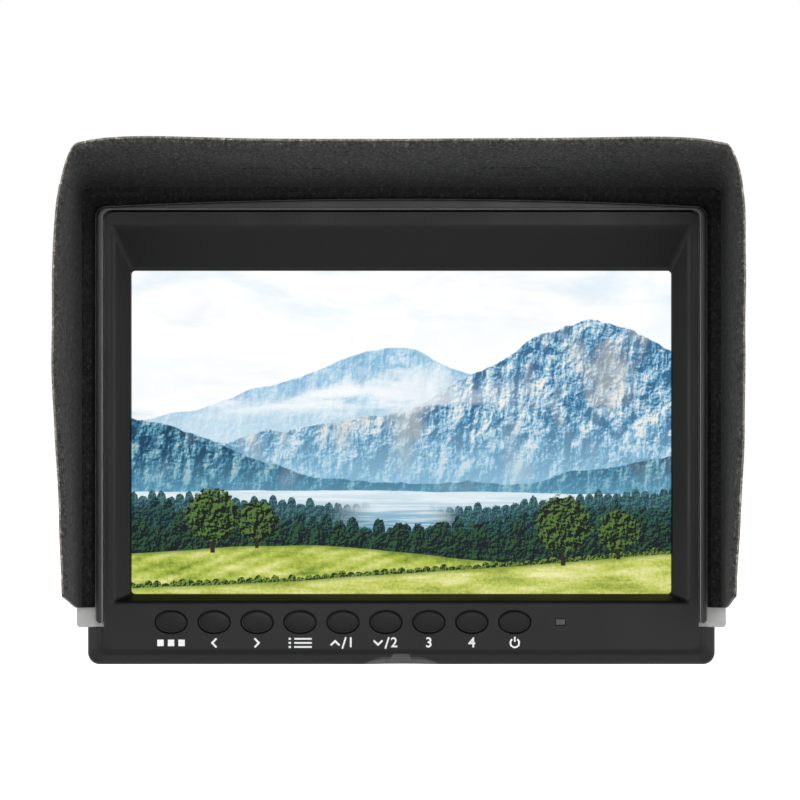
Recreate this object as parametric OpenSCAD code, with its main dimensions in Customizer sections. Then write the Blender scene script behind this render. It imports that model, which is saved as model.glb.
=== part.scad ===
// Field monitor for a camera, with a folding sun hood that slides onto its front bezel.
// X is to the right, Y runs from the screen (-Y) to the back, Z is up.
// The origin is at the mouth of the tripod socket in the middle of the underside.

/* [Case] */
// Width of the frame beside the window
frame_side = 12.8; // [11.8:0.1:18]
// Height of the frame above the window
frame_top = 17.6; // [16.6:0.1:24]
// Depth of the case from the front face to the back
case_d = 30; // [28:0.5:36]
// Depth of the front bezel, up to the joint with the rear housing
bezel_d = 8.4; // [8:0.1:8.8]
// Thickness of the case walls
wall = 2.2; // [1.8:0.1:2.6]
// Radius of the four corners of the case outline
corner_r = 3.5; // [2:0.5:6]
// Width of the bevel round the front face
front_bevel_w = 3.6; // [2:0.2:4.4]
// Depth of the bevel round the front face
front_bevel_d = 4.2; // [2:0.2:6]
// Width of the bevel round the back
back_bevel_w = 5; // [3:0.5:5]
// Depth of the bevel round the back
back_bevel_d = 4; // [2:0.5:5]
// Height of the scoop in the lower front edge
scoop_h = 3.6; // [2:0.2:5]
// Radius of the scoop at the underside
scoop_r = 23.6; // [22:0.2:26]

/* [Screen] */
// Width of the window over the picture
window_w = 159.4; // [150:0.2:160]
// Height of the window over the picture
window_h = 96.2; // [88:0.2:97]
// Height of the window's lower edge above the underside
window_z = 20.7; // [20.2:0.1:22]
// Corner radius of the window
window_r = 1.1; // [0.5:0.1:2]
// Depth of the sloping surround in front of the window
surround_d = 4; // [3.4:0.1:4.2]
// Width of the sloping surround at each side
surround_side = 5.4; // [3:0.2:5.6]
// Width of the sloping surround above the window
surround_top = 11.9; // [6:0.2:13]
// Width of the sloping surround below the window
surround_bottom = 2.1; // [1:0.1:2.3]
// Thickness of the rim behind the surround
rim_t = 0.8; // [0.6:0.1:1]
// Width of the screen's border hidden behind the rim
screen_border = 1.6; // [1.2:0.1:1.7]
// Thickness of the foam gasket
gasket_t = 0.5; // [0.3:0.1:0.6]
// Thickness of the screen glass
glass_t = 1.2; // [0.8:0.1:1.3]
// Thickness of the backlight
backlight_t = 3.8; // [3:0.1:4]

/* [Keys] */
// Distance between neighbouring keys
key_pitch = 12.63; // [12:0.01:13]
// Place of the first key, left of the middle
key_first = 67.7; // [66:0.1:69]
// Height of the keys above the underside
key_z = 12.7; // [12:0.1:13]
// Width of a key
key_w = 8.7; // [7:0.1:9]
// Height of a key
key_h = 5.9; // [5:0.1:6.2]
// Gap round a key
key_gap = 0.4; // [0.3:0.05:0.5]
// How far a key stands out of the face
key_proud = 0.35; // [0.2:0.05:0.8]
// How far a key travels
key_travel = 0.6; // [0.4:0.05:0.7]
// Thickness of the front face behind the keys
face_t = 2.5; // [2.2:0.1:2.8]
// Distance from the last key to the status light
light_step = 13.46; // [10:0.02:20]
// Width of the status light
light_w = 2.8; // [2:0.1:4]
// Height of the status light
light_h = 1.8; // [1.2:0.1:3]

/* [Sun hood] */
// How far the hood's carrier plate stands out beside the case
plate_side = 3.1; // [2.5:0.1:8]
// Thickness of the carrier plate
plate_t = 2; // [1.6:0.1:2.2]
// Height of the carrier plate's lower end above the underside
plate_z = 11.1; // [10.5:0.1:14]
// How deep the carrier plate's edge sits in the groove of the bezel
plate_grip = 1.7; // [1:0.1:1.8]
// Distance from the side of the case to the hood's rail
rail_inset = 2.5; // [2.2:0.1:2.7]
// Width of the rail
rail_w = 2.3; // [1.8:0.1:2.5]
// How far the rail stands out of the carrier plate
rail_t = 2.9; // [2.3:0.1:3.2]
// Rise of the rail's arched top in the middle
rail_arch = 2.2; // [1:0.1:3]
// Depth of the hood's flaps
flap_d = 83.8; // [60:0.2:88]
// Thickness of a flap's outer fabric
cover_t = 0.7; // [0.5:0.1:1]
// Thickness of a flap's stiffening board
board_t = 0.7; // [0.5:0.1:1]
// Thickness of a flap's felt lining
lining_t = 0.6; // [0.5:0.1:1]
// Height of the side flaps' lower edge at the root
flap_z = 17; // [14:0.5:24]
// How much the lower edge rises towards the front
flap_rise = 7; // [0:0.5:12]
// Angle by which the top flap rises towards the front
top_flare = 5.7; // [3:0.1:9]
// Width of the soft corner beside the top flap
corner_w = 6.6; // [5:0.1:9]
// Thickness of the hook and loop patches
patch_t = 0.6; // [0.4:0.1:0.8]

/* [Back] */
// Width of the battery plate
battery_w = 44; // [42:0.5:48]
// Height of the battery plate
battery_h = 74; // [70:0.5:78]
// Height of the battery plate's lower edge
battery_z = 40; // [38:0.5:42]
// Thickness of the battery plate
battery_t = 2.2; // [1.8:0.1:3]
// Height of the battery rails
battery_rail_t = 3; // [2.4:0.1:3.6]
// Travel of the battery release slider
release_travel = 3; // [2:0.25:3.5]
// Number of vent slots on each side
vent_count = 9; // [5:1:10]
// Distance between vent slots
vent_pitch = 5; // [4:0.25:5]
// Width of a vent slot
vent_w = 2; // [1.5:0.1:2.5]

/* [Sockets] */
// Radius of the tripod thread, a quarter inch across
tripod_r = 3.175; // [3.175:0.1:4.775]
// Depth of the tripod thread
tripod_depth = 8; // [6:0.5:9]
// Radius of the headphone and audio jacks, for a 3.5 mm plug
jack_r = 1.8; // [1.3:0.05:2]
// Depth of the jacks
jack_depth = 12; // [10:0.5:12.5]
// Radius of the power socket
power_r = 2.85; // [2.5:0.05:3.2]

/* [Hidden] */
$fn = 64;

eps = 0.01;        // overshoot of a cut
air = 0.3;         // gap between pieces that move past each other
fit = 0.05;        // gap round a fixed insert
case_w = window_w + 2 * frame_side;
case_h = window_z + window_h + frame_top;
front_y = -case_d / 2;
back_y = case_d / 2;
split_y = front_y + bezel_d;
half_w = case_w / 2;

// screen stack, from the front backwards
window_x = window_w / 2;
window_top = window_z + window_h;
rim_y = front_y + surround_d;
gasket_y = rim_y + rim_t;
glass_y = gasket_y + gasket_t;
backlight_y = glass_y + glass_t;
tray_y = backlight_y + backlight_t;
tray_t = 0.6;
screen_x = window_x + screen_border;
screen_z = window_z - screen_border - 0.2;
screen_top = window_top + screen_border;
bay_x = screen_x + 0.6;
bay_z = screen_z - 0.4;
bay_top = screen_top + 0.6;

// hood groove in the bezel
plate_y = front_y + 2.1;
groove_x = half_w - 5.1 - plate_grip - air;
lip_x = half_w - 5.1;
groove_front = plate_y - air;
groove_back = plate_y + plate_t + air;
frame_back = groove_back + wall - 0.2;
lip_top = case_h - 0.9;

// screws and posts
post_x = half_w - 7.5;
post_low = wall + 3.6;
post_top = case_h - wall - 3.6;
post_r = 2.9;
post_y = split_y + 3.6;
screw_r = 1.2;
pilot_r = screw_r + fit;
head_r = 2.1;
head_t = 1.5;
sink_d = 4;
lug_x = screen_x - 5;
lug_top = bay_top + 4.2;
lug_low = key_z - 1;
lug_r = 2.5;
low_lug_x = half_w - 11.6;

// boards
pcb_t = 1.6;
pcb_y = tray_y + tray_t + 4.4;
pcb_x = [wall + 1.5 - half_w, half_w - 14.5];
pcb_z = 24;
pcb_top = case_h - 24.5;
standoff_x = half_w - 22.5;
standoff_in = 6;
standoff_z = [pcb_z + standoff_in, pcb_top - standoff_in];
chip_t = 1.4;
chips = [[-30, 40, 18, 18], [5, 38, 14, 14], [34, 50, 12, 8], [-8, 66, 10, 8], [50, 22, 9, 9]];
can_x = [8, 20, 32];
can_r = 4;
can_h = 7;
can_z = pcb_z + 13;
ribbon_t = 0.25;
lcd_ribbon_x = [-20, 10];
lcd_ribbon_low = pcb_z - 3.6;
lcd_ribbon_top = pcb_z + 36;
lcd_ribbon_end = pcb_z + 10;
key_ribbon_x = [-60, -48];
key_ribbon_low = key_z - 3.7;
key_ribbon_bend = key_z + 4.5;
key_ribbon_end = pcb_z + 6;
switch_t = 2.4;
stem_end_y = front_y + face_t + 2.1;
switch_y = stem_end_y + key_travel + air / 2;
key_board_y = switch_y + switch_t;
key_board_t = 1;
key_board_z = [key_z - 6.2, key_z + 4];

// keys
key_last = 8;
light_x = key_last * key_pitch - key_first + light_step;
key_back_y = front_y + face_t + air;
key_flange_t = 0.8;
key_flange = 1.8;

// sockets on the left side of the case
socket_y = pcb_y + pcb_t;
socket_x = -half_w + air;
hdmi_z = pcb_top - 18;
hdmi = [12, 6, 15];
jack_z = [pcb_top - 34, pcb_top - 48];
jack_box = [13.5, 6.4, 7];
power_z = pcb_top - 64;
power_box = [12, 8.4, 9];

// tripod socket
nut_r = tripod_r + 1.75;
nut_flange_r = nut_r + 1;
nut_h = tripod_depth + 1;
bracket_t = 1.5;
bracket_z = wall + 0.2;
bracket_x = 18;
bracket_screw_x = bracket_x - 3.5;
bracket_screw_r = 0.9;
bracket_screw_len = 2.8;
bracket_head_r = 2;
bracket_head_t = 1.2;

// battery plate and release
release_z = 26;
pad_w = 16;
pad_h = 9;
pad_t = 2;
neck_w = 10;
neck_h = 5;
inner_w = 14;
inner_h = 12;
inner_t = 1.6;
inner_y = back_y - wall - air - inner_t;
spring_len = 8;
spring_r = 2;
spring_wire = 0.35;
spring_turns = 6;
spring_y = inner_y - 2.6;
rib_z = release_z - inner_h / 2 - spring_len - 1.5;

// back wall: vents and speaker
vent_h = 15;
speaker_x = 55;
speaker_z = 30;
speaker_r = 9;
speaker_t = 3.2;
magnet_r = 5;
magnet_t = 2;
sound_hole_r = 0.8;
sound_hole_pitch = 3.2;

// hood
flap_t = cover_t + board_t + lining_t;
plate_x = half_w + plate_side;
plate_in_x = lip_x - plate_grip;
plate_top = case_h + air;
rail_x = half_w - rail_inset;
rail_in_x = rail_x - rail_w;
rail_z = plate_z + 1.3;
rail_front = plate_y - rail_t;
rail_top = lip_top + air;
rail_edge = 1.1;
rail_corner_r = 3.3;
rail_foot_r = 1.8;
rail_in_r = 0.4;
arch_steps = 12;
arch_top = rail_top + rail_edge + rail_arch;
skirt_t = 1.2;
hinge_x = plate_x + 0.2 - flap_t;
hinge_y = rail_front - 0.4;
side_top = arch_top + 0.1;
top_hinge_z = arch_top + 3.2;
top_hinge_y = hinge_y - flap_t - 2 * patch_t - air;
top_flap_d = flap_d - (hinge_y - top_hinge_y);
top_half = hinge_x + flap_t - corner_w;
skirt_top = top_hinge_z + flap_t;
board_inset = 2.5;
patch_w = 22;
patch_from_hinge = 60;
patch_drop = 28;

module along_x(x0, x1) translate([x0, 0, 0]) rotate([90, 0, 90]) linear_extrude(x1 - x0) children();
module along_y(y0, y1) translate([0, y1, 0]) rotate([90, 0, 0]) linear_extrude(y1 - y0) children();
module along_z(z0, z1) translate([0, 0, z0]) linear_extrude(z1 - z0) children();
module box(x, y, z) translate([x[0], y[0], z[0]]) cube([x[1] - x[0], y[1] - y[0], z[1] - z[0]]);
module peg(x, z, r, y0, y1) translate([x, y1, z]) rotate([90, 0, 0]) cylinder(r = r, h = y1 - y0);

// A rectangle from x0 to x1 and z0 to z1 with round corners
module round_rect(x, z, r) {
    square_w = x[1] - x[0];
    square_h = z[1] - z[0];
    translate([x[0] + r, z[0]]) square([square_w - 2 * r, square_h]);
    translate([x[0], z[0] + r]) square([square_w, square_h - 2 * r]);
    for (cx = [x[0] + r, x[1] - r], cz = [z[0] + r, z[1] - r])
        translate([cx, cz]) circle(r);
}

module ellipse(w, h, steps = 40)
    polygon([for (i = [0:steps - 1]) [w / 2 * cos(360 * i / steps), h / 2 * sin(360 * i / steps)]]);

// The case as a solid block, its walls moved in by inset
module case_block(inset = 0) {
    x = half_w - inset;
    z = [inset, case_h - inset];
    y = [front_y + inset, back_y - inset];
    fw = front_bevel_w;
    fd = front_bevel_d;
    bw = back_bevel_w;
    bd = back_bevel_d;
    top_bevel = 1;
    intersection() {
        along_y(y[0], y[1]) round_rect([-x, x], z, corner_r - inset / 2);
        along_z(z[0] - 1, z[1] + 1) polygon([[fw - x, y[0]], [x - fw, y[0]], [x, y[0] + fd], [x, y[1] - bd],
            [x - bw, y[1]], [bw - x, y[1]], [-x, y[1] - bd], [-x, y[0] + fd]]);
        along_x(-x - 1, x + 1) polygon([[y[0], z[0] + fw], [y[0] + fd, z[0]], [y[1] - bd, z[0]],
            [y[1], z[0] + bw], [y[1], z[1] - bw], [y[1] - bd, z[1]], [y[0] + top_bevel, z[1]],
            [y[0], z[1] - top_bevel]]);
    }
}

// The sloping surround: a rectangle on the face that narrows to the window
module surround_cut() {
    reach = (surround_d + 1) / surround_d;
    x = [window_x, window_x + surround_side * reach];
    low = [window_z, window_z - surround_bottom * reach];
    high = [window_top, window_top + surround_top * reach];
    y = [rim_y, front_y - 1];
    points = [for (k = [0, 1], c = [[-1, 0], [1, 0], [1, 1], [-1, 1]])
        [c[0] * x[k], y[k], c[1] == 0 ? low[k] : high[k]]];
    polyhedron(points, [[0, 1, 2, 3], [7, 6, 5, 4], [4, 5, 1, 0], [5, 6, 2, 1], [6, 7, 3, 2], [7, 4, 0, 3]]);
}

module window_shape() round_rect([-window_x, window_x], [window_z, window_top], window_r);

module scoop_cut() {
    depth = 3.4;
    y = front_y + front_bevel_d + depth - scoop_r;
    slope = (front_bevel_d + depth) / scoop_h;
    translate([0, y, -1]) cylinder(r1 = scoop_r + slope, r2 = scoop_r - scoop_h * slope, h = scoop_h + 1);
}

module hood_groove_cuts() {
    for (side = [-1, 1]) {
        x = [for (v = [groove_x, half_w + 1]) side * v];
        lip = [for (v = [lip_x, half_w + 1]) side * v];
        box([min(x), max(x)], [groove_front, groove_back], [plate_z - air / 2, case_h + 1]);
        box([min(lip), max(lip)], [front_y - 1, groove_back], [plate_z - air / 2, case_h + 1]);
    }
    box([-half_w - 1, half_w + 1], [front_y - 1, groove_back], [lip_top, case_h + 1]);
}

module corner_posts(r, y0, y1)
    for (x = [-post_x, post_x], z = [post_low, post_top]) peg(x, z, r, y0, y1);

module tray_lugs(r, y0, y1) {
    for (x = [-lug_x, lug_x]) peg(x, lug_top, r, y0, y1);
    for (x = [-low_lug_x, low_lug_x]) peg(x, lug_low, r, y0, y1);
}

module key_shape(grow) ellipse(key_w + 2 * grow, key_h + 2 * grow);

module front_bezel() color([0.19, 0.19, 0.19]) difference() {
    union() {
        difference() {
            intersection() {
                case_block();
                box([-half_w, half_w], [front_y, split_y], [0, case_h]);
            }
            box([-bay_x, bay_x], [gasket_y, split_y + 1], [bay_z, bay_top]);
            box([wall - half_w, half_w - wall], [frame_back, split_y + 1], [wall, case_h - wall]);
            box([front_bevel_w + wall - half_w, half_w - front_bevel_w - wall],
                [front_y + face_t, split_y + 1], [front_bevel_w, bay_z - 1.2]);
        }
        corner_posts(post_r, frame_back - 1, post_y);
        tray_lugs(lug_r, front_y + face_t - 0.5, tray_y);
    }
    surround_cut();
    along_y(rim_y - 1, gasket_y + 1) window_shape();
    hood_groove_cuts();
    scoop_cut();
    corner_posts(pilot_r, frame_back, post_y + 1);
    tray_lugs(pilot_r, tray_y - 4, tray_y + 1);
    for (i = [0:key_last]) translate([key_x(i), 0, key_z]) along_y(front_y - 1, front_y + face_t + 1) key_shape(key_gap);
    box([light_x - light_w / 2, light_x + light_w / 2], [front_y - 1, front_y + face_t + 1],
        [key_z - light_h / 2, key_z + light_h / 2]);
}

function key_x(i) = i * key_pitch - key_first;

module key(i) color([0.13, 0.13, 0.13]) translate([key_x(i), 0, key_z]) {
    dome_r = 26;
    intersection() {
        along_y(front_y - key_proud, key_back_y + eps) ellipse(key_w, key_h);
        translate([0, front_y - key_proud + dome_r, 0]) sphere(dome_r);
    }
    along_y(key_back_y, key_back_y + key_flange_t) ellipse(key_w + key_flange, key_h + key_flange);
    peg(0, 0, 1.5, key_back_y, stem_end_y);
}

module status_light_pipe() color([0.5, 0.1, 0.1]) {
    g = 2 * fit;
    box([light_x - light_w / 2 + g, light_x + light_w / 2 - g], [front_y + 0.4, front_y + face_t],
        [key_z - light_h / 2 + g, key_z + light_h / 2 - g]);
    box([light_x - light_w / 2 - 0.8, light_x + light_w / 2 + 0.8], [front_y + face_t, key_board_y - 1],
        [key_z - light_h / 2 - 0.8, key_z + light_h / 2 + 0.8]);
}

// Rear housing
module housing_posts(r, y0, y1)
    for (x = [-standoff_x, standoff_x], z = standoff_z) peg(x, z, r, y0, y1);

module vents() {
    vent_low = case_h - 22.5;
    first = battery_w / 2 + 23;
    for (side = [-1, 1], i = [0:vent_count - 1]) {
        x = side * (first + (i - (vent_count - 1) / 2) * vent_pitch);
        along_y(back_y - wall - 1, back_y + 1)
            round_rect([x - vent_w / 2, x + vent_w / 2], [vent_low, vent_low + vent_h], vent_w / 2 - eps);
    }
}

module speaker_holes()
    for (i = [-2:2], j = [-2:2])
        if (abs(i) + abs(j) < 4) peg(speaker_x + i * sound_hole_pitch, speaker_z + j * sound_hole_pitch,
            sound_hole_r, back_y - wall - 1, back_y + 1);

module socket_holes() {
    g = 0.25;
    x = [-half_w - 1, wall + back_bevel_w - half_w];
    box(x, [socket_y - g, socket_y + hdmi[1] + g], [hdmi_z - hdmi[2] / 2 - g, hdmi_z + hdmi[2] / 2 + g]);
    for (z = jack_z)
        box(x, [socket_y - g, socket_y + jack_box[1] + g], [z - jack_box[2] / 2 - g, z + jack_box[2] / 2 + g]);
    box(x, [socket_y - g, socket_y + power_box[1] + g], [power_z - power_box[2] / 2 - g, power_z + power_box[2] / 2 + g]);
}

module rear_housing() color([0.18, 0.18, 0.18]) difference() {
    union() {
        difference() {
            intersection() {
                case_block();
                box([-half_w, half_w], [split_y, back_y], [0, case_h]);
            }
            intersection() {
                case_block(wall);
                box([-half_w, half_w], [split_y - 1, back_y], [0, case_h]);
            }
        }
        corner_posts(post_r, post_y, back_y - 1);
        housing_posts(2.6, socket_y, back_y - 1);
        for (x = [-bracket_screw_x, bracket_screw_x])
            translate([x, 0, 1]) cylinder(r = bracket_head_r + 0.4, h = bracket_z - 1);
        box([-inner_w / 2, inner_w / 2], [spring_y - spring_r - 0.5, back_y - 1], [rib_z - 1.5, rib_z]);
        difference() {
            peg(speaker_x, speaker_z, speaker_r + 1.6, back_y - wall - speaker_t - 0.8, back_y - 1);
            peg(speaker_x, speaker_z, speaker_r + 0.2, back_y - wall - speaker_t - 1.8, back_y - wall);
        }
    }
    corner_posts(pilot_r + 0.1, split_y, back_y + 1);
    corner_posts(head_r + 0.3, back_y - sink_d, back_y + 1);
    housing_posts(pilot_r, socket_y - 1, socket_y + 6);
    scoop_cut();
    translate([0, 0, -1]) cylinder(r = nut_r + fit, h = wall + 2);
    for (x = [-bracket_screw_x, bracket_screw_x])
        translate([x, 0, 0.8]) cylinder(r = bracket_screw_r + fit, h = bracket_z);
    box([-(neck_w / 2 + air), neck_w / 2 + air], [back_y - wall - 1, back_y + 1],
        [release_z - neck_h / 2 - release_travel - air, release_z + neck_h / 2 + air]);
    for (x = plate_screw_x, z = plate_screw_z) peg(x, z, 0.85, back_y - wall - 1, back_y + 1);
    vents();
    speaker_holes();
    socket_holes();
}

// Screen
module screen_ring(x, z0, z1, y0, y1, inner_x, inner_z0, inner_z1)
    difference() {
        box([-x, x], [y0, y1], [z0, z1]);
        box([-inner_x, inner_x], [y0 - 1, y1 + 1], [inner_z0, inner_z1]);
    }

module lcd_gasket() color([0.08, 0.08, 0.08])
    screen_ring(screen_x, screen_z, screen_top, gasket_y, glass_y,
        window_x + 0.2, window_z - 0.2, window_top + 0.2);

module lcd_glass() color([0.55, 0.65, 0.75])
    box([-screen_x, screen_x], [glass_y, backlight_y], [screen_z, screen_top]);

module backlight_unit() color([0.9, 0.9, 0.88])
    box([-screen_x + 0.2, screen_x - 0.2], [backlight_y, tray_y], [screen_z + 0.2, screen_top - 0.2]);

module lcd_tray() color([0.7, 0.71, 0.72]) difference() {
    union() {
        box([-bay_x + 0.15, bay_x - 0.15], [tray_y, tray_y + tray_t], [bay_z + 0.15, bay_top - 0.15]);
        screen_ring(bay_x - 0.15, bay_z + 0.15, bay_top - 0.15, backlight_y + 0.3, tray_y + eps,
            screen_x + 0.1, screen_z - 0.1, screen_top + 0.1);
        for (x = [-lug_x, lug_x]) box([x - 4, x + 4], [tray_y, tray_y + tray_t], [bay_top - 1, lug_top + 3]);
        for (x = [-low_lug_x, low_lug_x])
            box([x - 3.4, x + 3.4], [tray_y, tray_y + tray_t], [lug_low - 3, bay_z + 1]);
    }
    tray_lugs(pilot_r, tray_y - 1, tray_y + tray_t + 1);
}

// A pan head screw along Y: its head's underside at y, its shank towards -Y
module screw(x, z, y, length, r = screw_r, head = head_r) {
    peg(x, z, r, y - length, y + eps);
    difference() {
        peg(x, z, head, y, y + head_t);
        for (turn = [0, 90])
            translate([x, y + head_t, z]) rotate([0, turn, 0]) cube([head * 1.2, head_t, head / 4], center = true);
    }
}

module lcd_tray_screws() color([0.75, 0.75, 0.76]) {
    for (x = [-lug_x, lug_x]) screw(x, lug_top, tray_y + tray_t, 3.6);
    for (x = [-low_lug_x, low_lug_x]) screw(x, lug_low, tray_y + tray_t, 3.6);
}

module housing_screws() color([0.3, 0.3, 0.31])
    for (x = [-post_x, post_x], z = [post_low, post_top])
        screw(x, z, back_y - sink_d, back_y - sink_d - post_y + 2.5);

// Boards
module main_board() color([0.05, 0.3, 0.16]) difference() {
    box(pcb_x, [pcb_y, socket_y], [pcb_z, pcb_top]);
    housing_posts(pilot_r, pcb_y - 1, socket_y + 1);
}

module board_chips() color([0.1, 0.1, 0.11]) {
    for (c = chips)
        box([c[0], c[0] + c[2]], [socket_y, socket_y + chip_t], [pcb_top - c[1], pcb_top - c[1] + c[3]]);
    for (x = can_x) peg(x, can_z, can_r, socket_y, socket_y + can_h);
}

module board_screws() color([0.75, 0.75, 0.76])
    for (x = [-standoff_x, standoff_x], z = standoff_z)
        translate([0, 2 * pcb_y, 0]) mirror([0, 1, 0]) screw(x, z, pcb_y, 6);

module key_board() color([0.05, 0.3, 0.16])
    box([key_x(0) - 6, light_x + 6], [key_board_y, key_board_y + key_board_t], key_board_z);

module tact_switches() color([0.75, 0.75, 0.75])
    for (i = [0:key_last]) {
        x = key_x(i);
        box([x - 3, x + 3], [switch_y + 0.7, key_board_y], [key_z - 3, key_z + 3]);
        peg(x, key_z, 1.4, switch_y, switch_y + 0.7 + eps);
    }

module lcd_ribbon() color([0.75, 0.5, 0.2]) {
    t = ribbon_t;
    y = tray_y + tray_t;
    z = lcd_ribbon_low;
    along_x(lcd_ribbon_x[0], lcd_ribbon_x[1]) polygon([[y, lcd_ribbon_top], [y, z], [pcb_y, z],
        [pcb_y, lcd_ribbon_end], [pcb_y - t, lcd_ribbon_end], [pcb_y - t, z + t], [y + t, z + t],
        [y + t, lcd_ribbon_top]]);
}

module key_ribbon() color([0.75, 0.5, 0.2]) {
    t = ribbon_t;
    y = key_board_y + key_board_t;
    z = key_ribbon_bend;
    along_x(key_ribbon_x[0], key_ribbon_x[1]) polygon([[y, key_ribbon_low], [y + t, key_ribbon_low],
        [y + t, z - t], [pcb_y, z - t], [pcb_y, key_ribbon_end], [pcb_y - t, key_ribbon_end],
        [pcb_y - t, z], [y, z]]);
}

// Sockets
module hdmi_socket() color([0.72, 0.72, 0.74]) {
    t = 0.5;
    x = [socket_x, socket_x + hdmi[0]];
    y = [socket_y, socket_y + hdmi[1]];
    z = [hdmi_z - hdmi[2] / 2, hdmi_z + hdmi[2] / 2];
    mid = (y[0] + y[1]) / 2 + 0.3;
    difference() {
        box(x, y, z);
        box([x[0] - 1, x[1] - 2], [y[0] + t, y[1] - t], [z[0] + t, z[1] - t]);
    }
    box([x[0] + 1.5, x[1] - 1], [mid - 0.6, mid + 0.6], [z[0] + 2, z[1] - 2]);
}

module jack_socket(z) color([0.12, 0.12, 0.12]) difference() {
    box([socket_x, socket_x + jack_box[0]], [socket_y, socket_y + jack_box[1]],
        [z - jack_box[2] / 2, z + jack_box[2] / 2]);
    translate([socket_x - 1, socket_y + jack_box[1] / 2, z]) rotate([0, 90, 0]) cylinder(r = jack_r, h = jack_depth + 1);
}

module power_socket() color([0.12, 0.12, 0.12]) {
    y = socket_y + power_box[1] / 2;
    difference() {
        box([socket_x, socket_x + power_box[0]], [socket_y, socket_y + power_box[1]],
            [power_z - power_box[2] / 2, power_z + power_box[2] / 2]);
        translate([socket_x - 1, y, power_z]) rotate([0, 90, 0]) cylinder(r = power_r, h = power_box[0] - 1);
    }
    translate([socket_x + 1, y, power_z]) rotate([0, 90, 0]) cylinder(r = 1, h = power_box[0] - 1.5);
}

module speaker() color([0.25, 0.25, 0.26]) {
    peg(speaker_x, speaker_z, speaker_r, back_y - wall - speaker_t, back_y - wall);
    peg(speaker_x, speaker_z, magnet_r, back_y - wall - speaker_t - magnet_t, back_y - wall - speaker_t + eps);
}

// Tripod socket
module tripod_nut() color([0.75, 0.7, 0.6]) difference() {
    union() {
        cylinder(r = nut_r, h = nut_h);
        translate([0, 0, bracket_z + bracket_t]) cylinder(r = nut_flange_r, h = 1.5);
    }
    translate([0, 0, -1]) cylinder(r = tripod_r, h = tripod_depth + 1);
}

module tripod_bracket() color([0.7, 0.7, 0.7]) difference() {
    box([-bracket_x, bracket_x], [-nut_flange_r, nut_flange_r], [bracket_z, bracket_z + bracket_t]);
    translate([0, 0, bracket_z - 1]) cylinder(r = nut_r + fit, h = bracket_t + 2);
    for (x = [-bracket_screw_x, bracket_screw_x])
        translate([x, 0, bracket_z - 1]) cylinder(r = bracket_screw_r + 0.3, h = bracket_t + 2);
}

module bracket_screws() color([0.75, 0.75, 0.76])
    for (x = [-bracket_screw_x, bracket_screw_x])
        translate([x, 0, bracket_z + bracket_t]) {
            translate([0, 0, -bracket_screw_len]) cylinder(r = bracket_screw_r, h = bracket_screw_len + eps);
            cylinder(r = bracket_head_r, h = bracket_head_t);
        }

// Battery plate
plate_screw_x = [-battery_w / 2 + 3.2, battery_w / 2 - 3.2];
plate_screw_z = [battery_z + 4, battery_z + battery_h - 4];
battery_y = back_y + battery_t;
contact_z = battery_z + 6;

module battery_plate() color([0.14, 0.14, 0.14]) difference() {
    union() {
        along_y(back_y, battery_y)
            round_rect([-battery_w / 2, battery_w / 2], [battery_z, battery_z + battery_h], 2);
        for (side = [-1, 1], k = [0:2]) {
            z = battery_z + 16 + k * 18;
            outer = side * (battery_w / 2 - 5.4);
            inner = side * (battery_w / 2 - 8.6);
            lip = side * (battery_w / 2 - 6.8);
            box([min(outer, lip), max(outer, lip)], [battery_y - eps, battery_y + battery_rail_t], [z, z + 10]);
            box([min(outer, inner), max(outer, inner)], [battery_y + battery_rail_t - 1.2, battery_y + battery_rail_t],
                [z, z + 10]);
        }
        along_y(battery_y - eps, battery_y + 2.4) round_rect([-9, 9], [contact_z, contact_z + 9], 1);
    }
    for (x = plate_screw_x, z = plate_screw_z) {
        peg(x, z, 1.05, back_y - 1, battery_y + 1);
        peg(x, z, 2, battery_y - 1.2, battery_y + 1);
    }
    for (i = [-1:1]) box([i * 5 - 0.9, i * 5 + 0.9], [battery_y + 0.4, battery_y + 3], [contact_z + 1, contact_z + 10]);
}

module battery_contacts() color([0.85, 0.7, 0.35])
    for (i = [-1:1]) box([i * 5 - 0.35, i * 5 + 0.35], [battery_y + 0.4, battery_y + 2.2], [contact_z + 1.6, contact_z + 8.6]);

module battery_plate_screws() color([0.3, 0.3, 0.31])
    for (x = plate_screw_x, z = plate_screw_z) {
        peg(x, z, 0.8, back_y - 2, battery_y - 1.2 + eps);
        peg(x, z, 1.8, battery_y - 1.2, battery_y - 0.2);
    }

// Battery release: a thumb pad outside, joined through the wall to a plate that the spring pushes up
module release_slider() color([0.16, 0.16, 0.16]) {
    pad_y = back_y + air;
    difference() {
        along_y(pad_y, pad_y + pad_t)
            round_rect([-pad_w / 2, pad_w / 2], [release_z - pad_h / 2, release_z + pad_h / 2], 1.5);
        for (k = [-1:1]) box([-pad_w / 2 + 2, pad_w / 2 - 2], [pad_y + pad_t - 0.5, pad_y + pad_t + 1],
            [release_z + k * 2 - 0.5, release_z + k * 2 + 0.5]);
    }
    box([-neck_w / 2, neck_w / 2], [inner_y + eps, pad_y + eps], [release_z - neck_h / 2, release_z + neck_h / 2]);
    box([-inner_w / 2, inner_w / 2], [inner_y, inner_y + inner_t],
        [release_z - inner_h / 2, release_z + inner_h / 2]);
    box([-inner_w / 2, inner_w / 2], [spring_y - spring_r - 0.5, inner_y + eps],
        [release_z - inner_h / 2, release_z - inner_h / 2 + 1.5]);
    box([-4, 4], [pad_y, pad_y + battery_t + 1.4], [release_z + pad_h / 2 - 2, release_z + pad_h / 2 + 4]);
}

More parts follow.
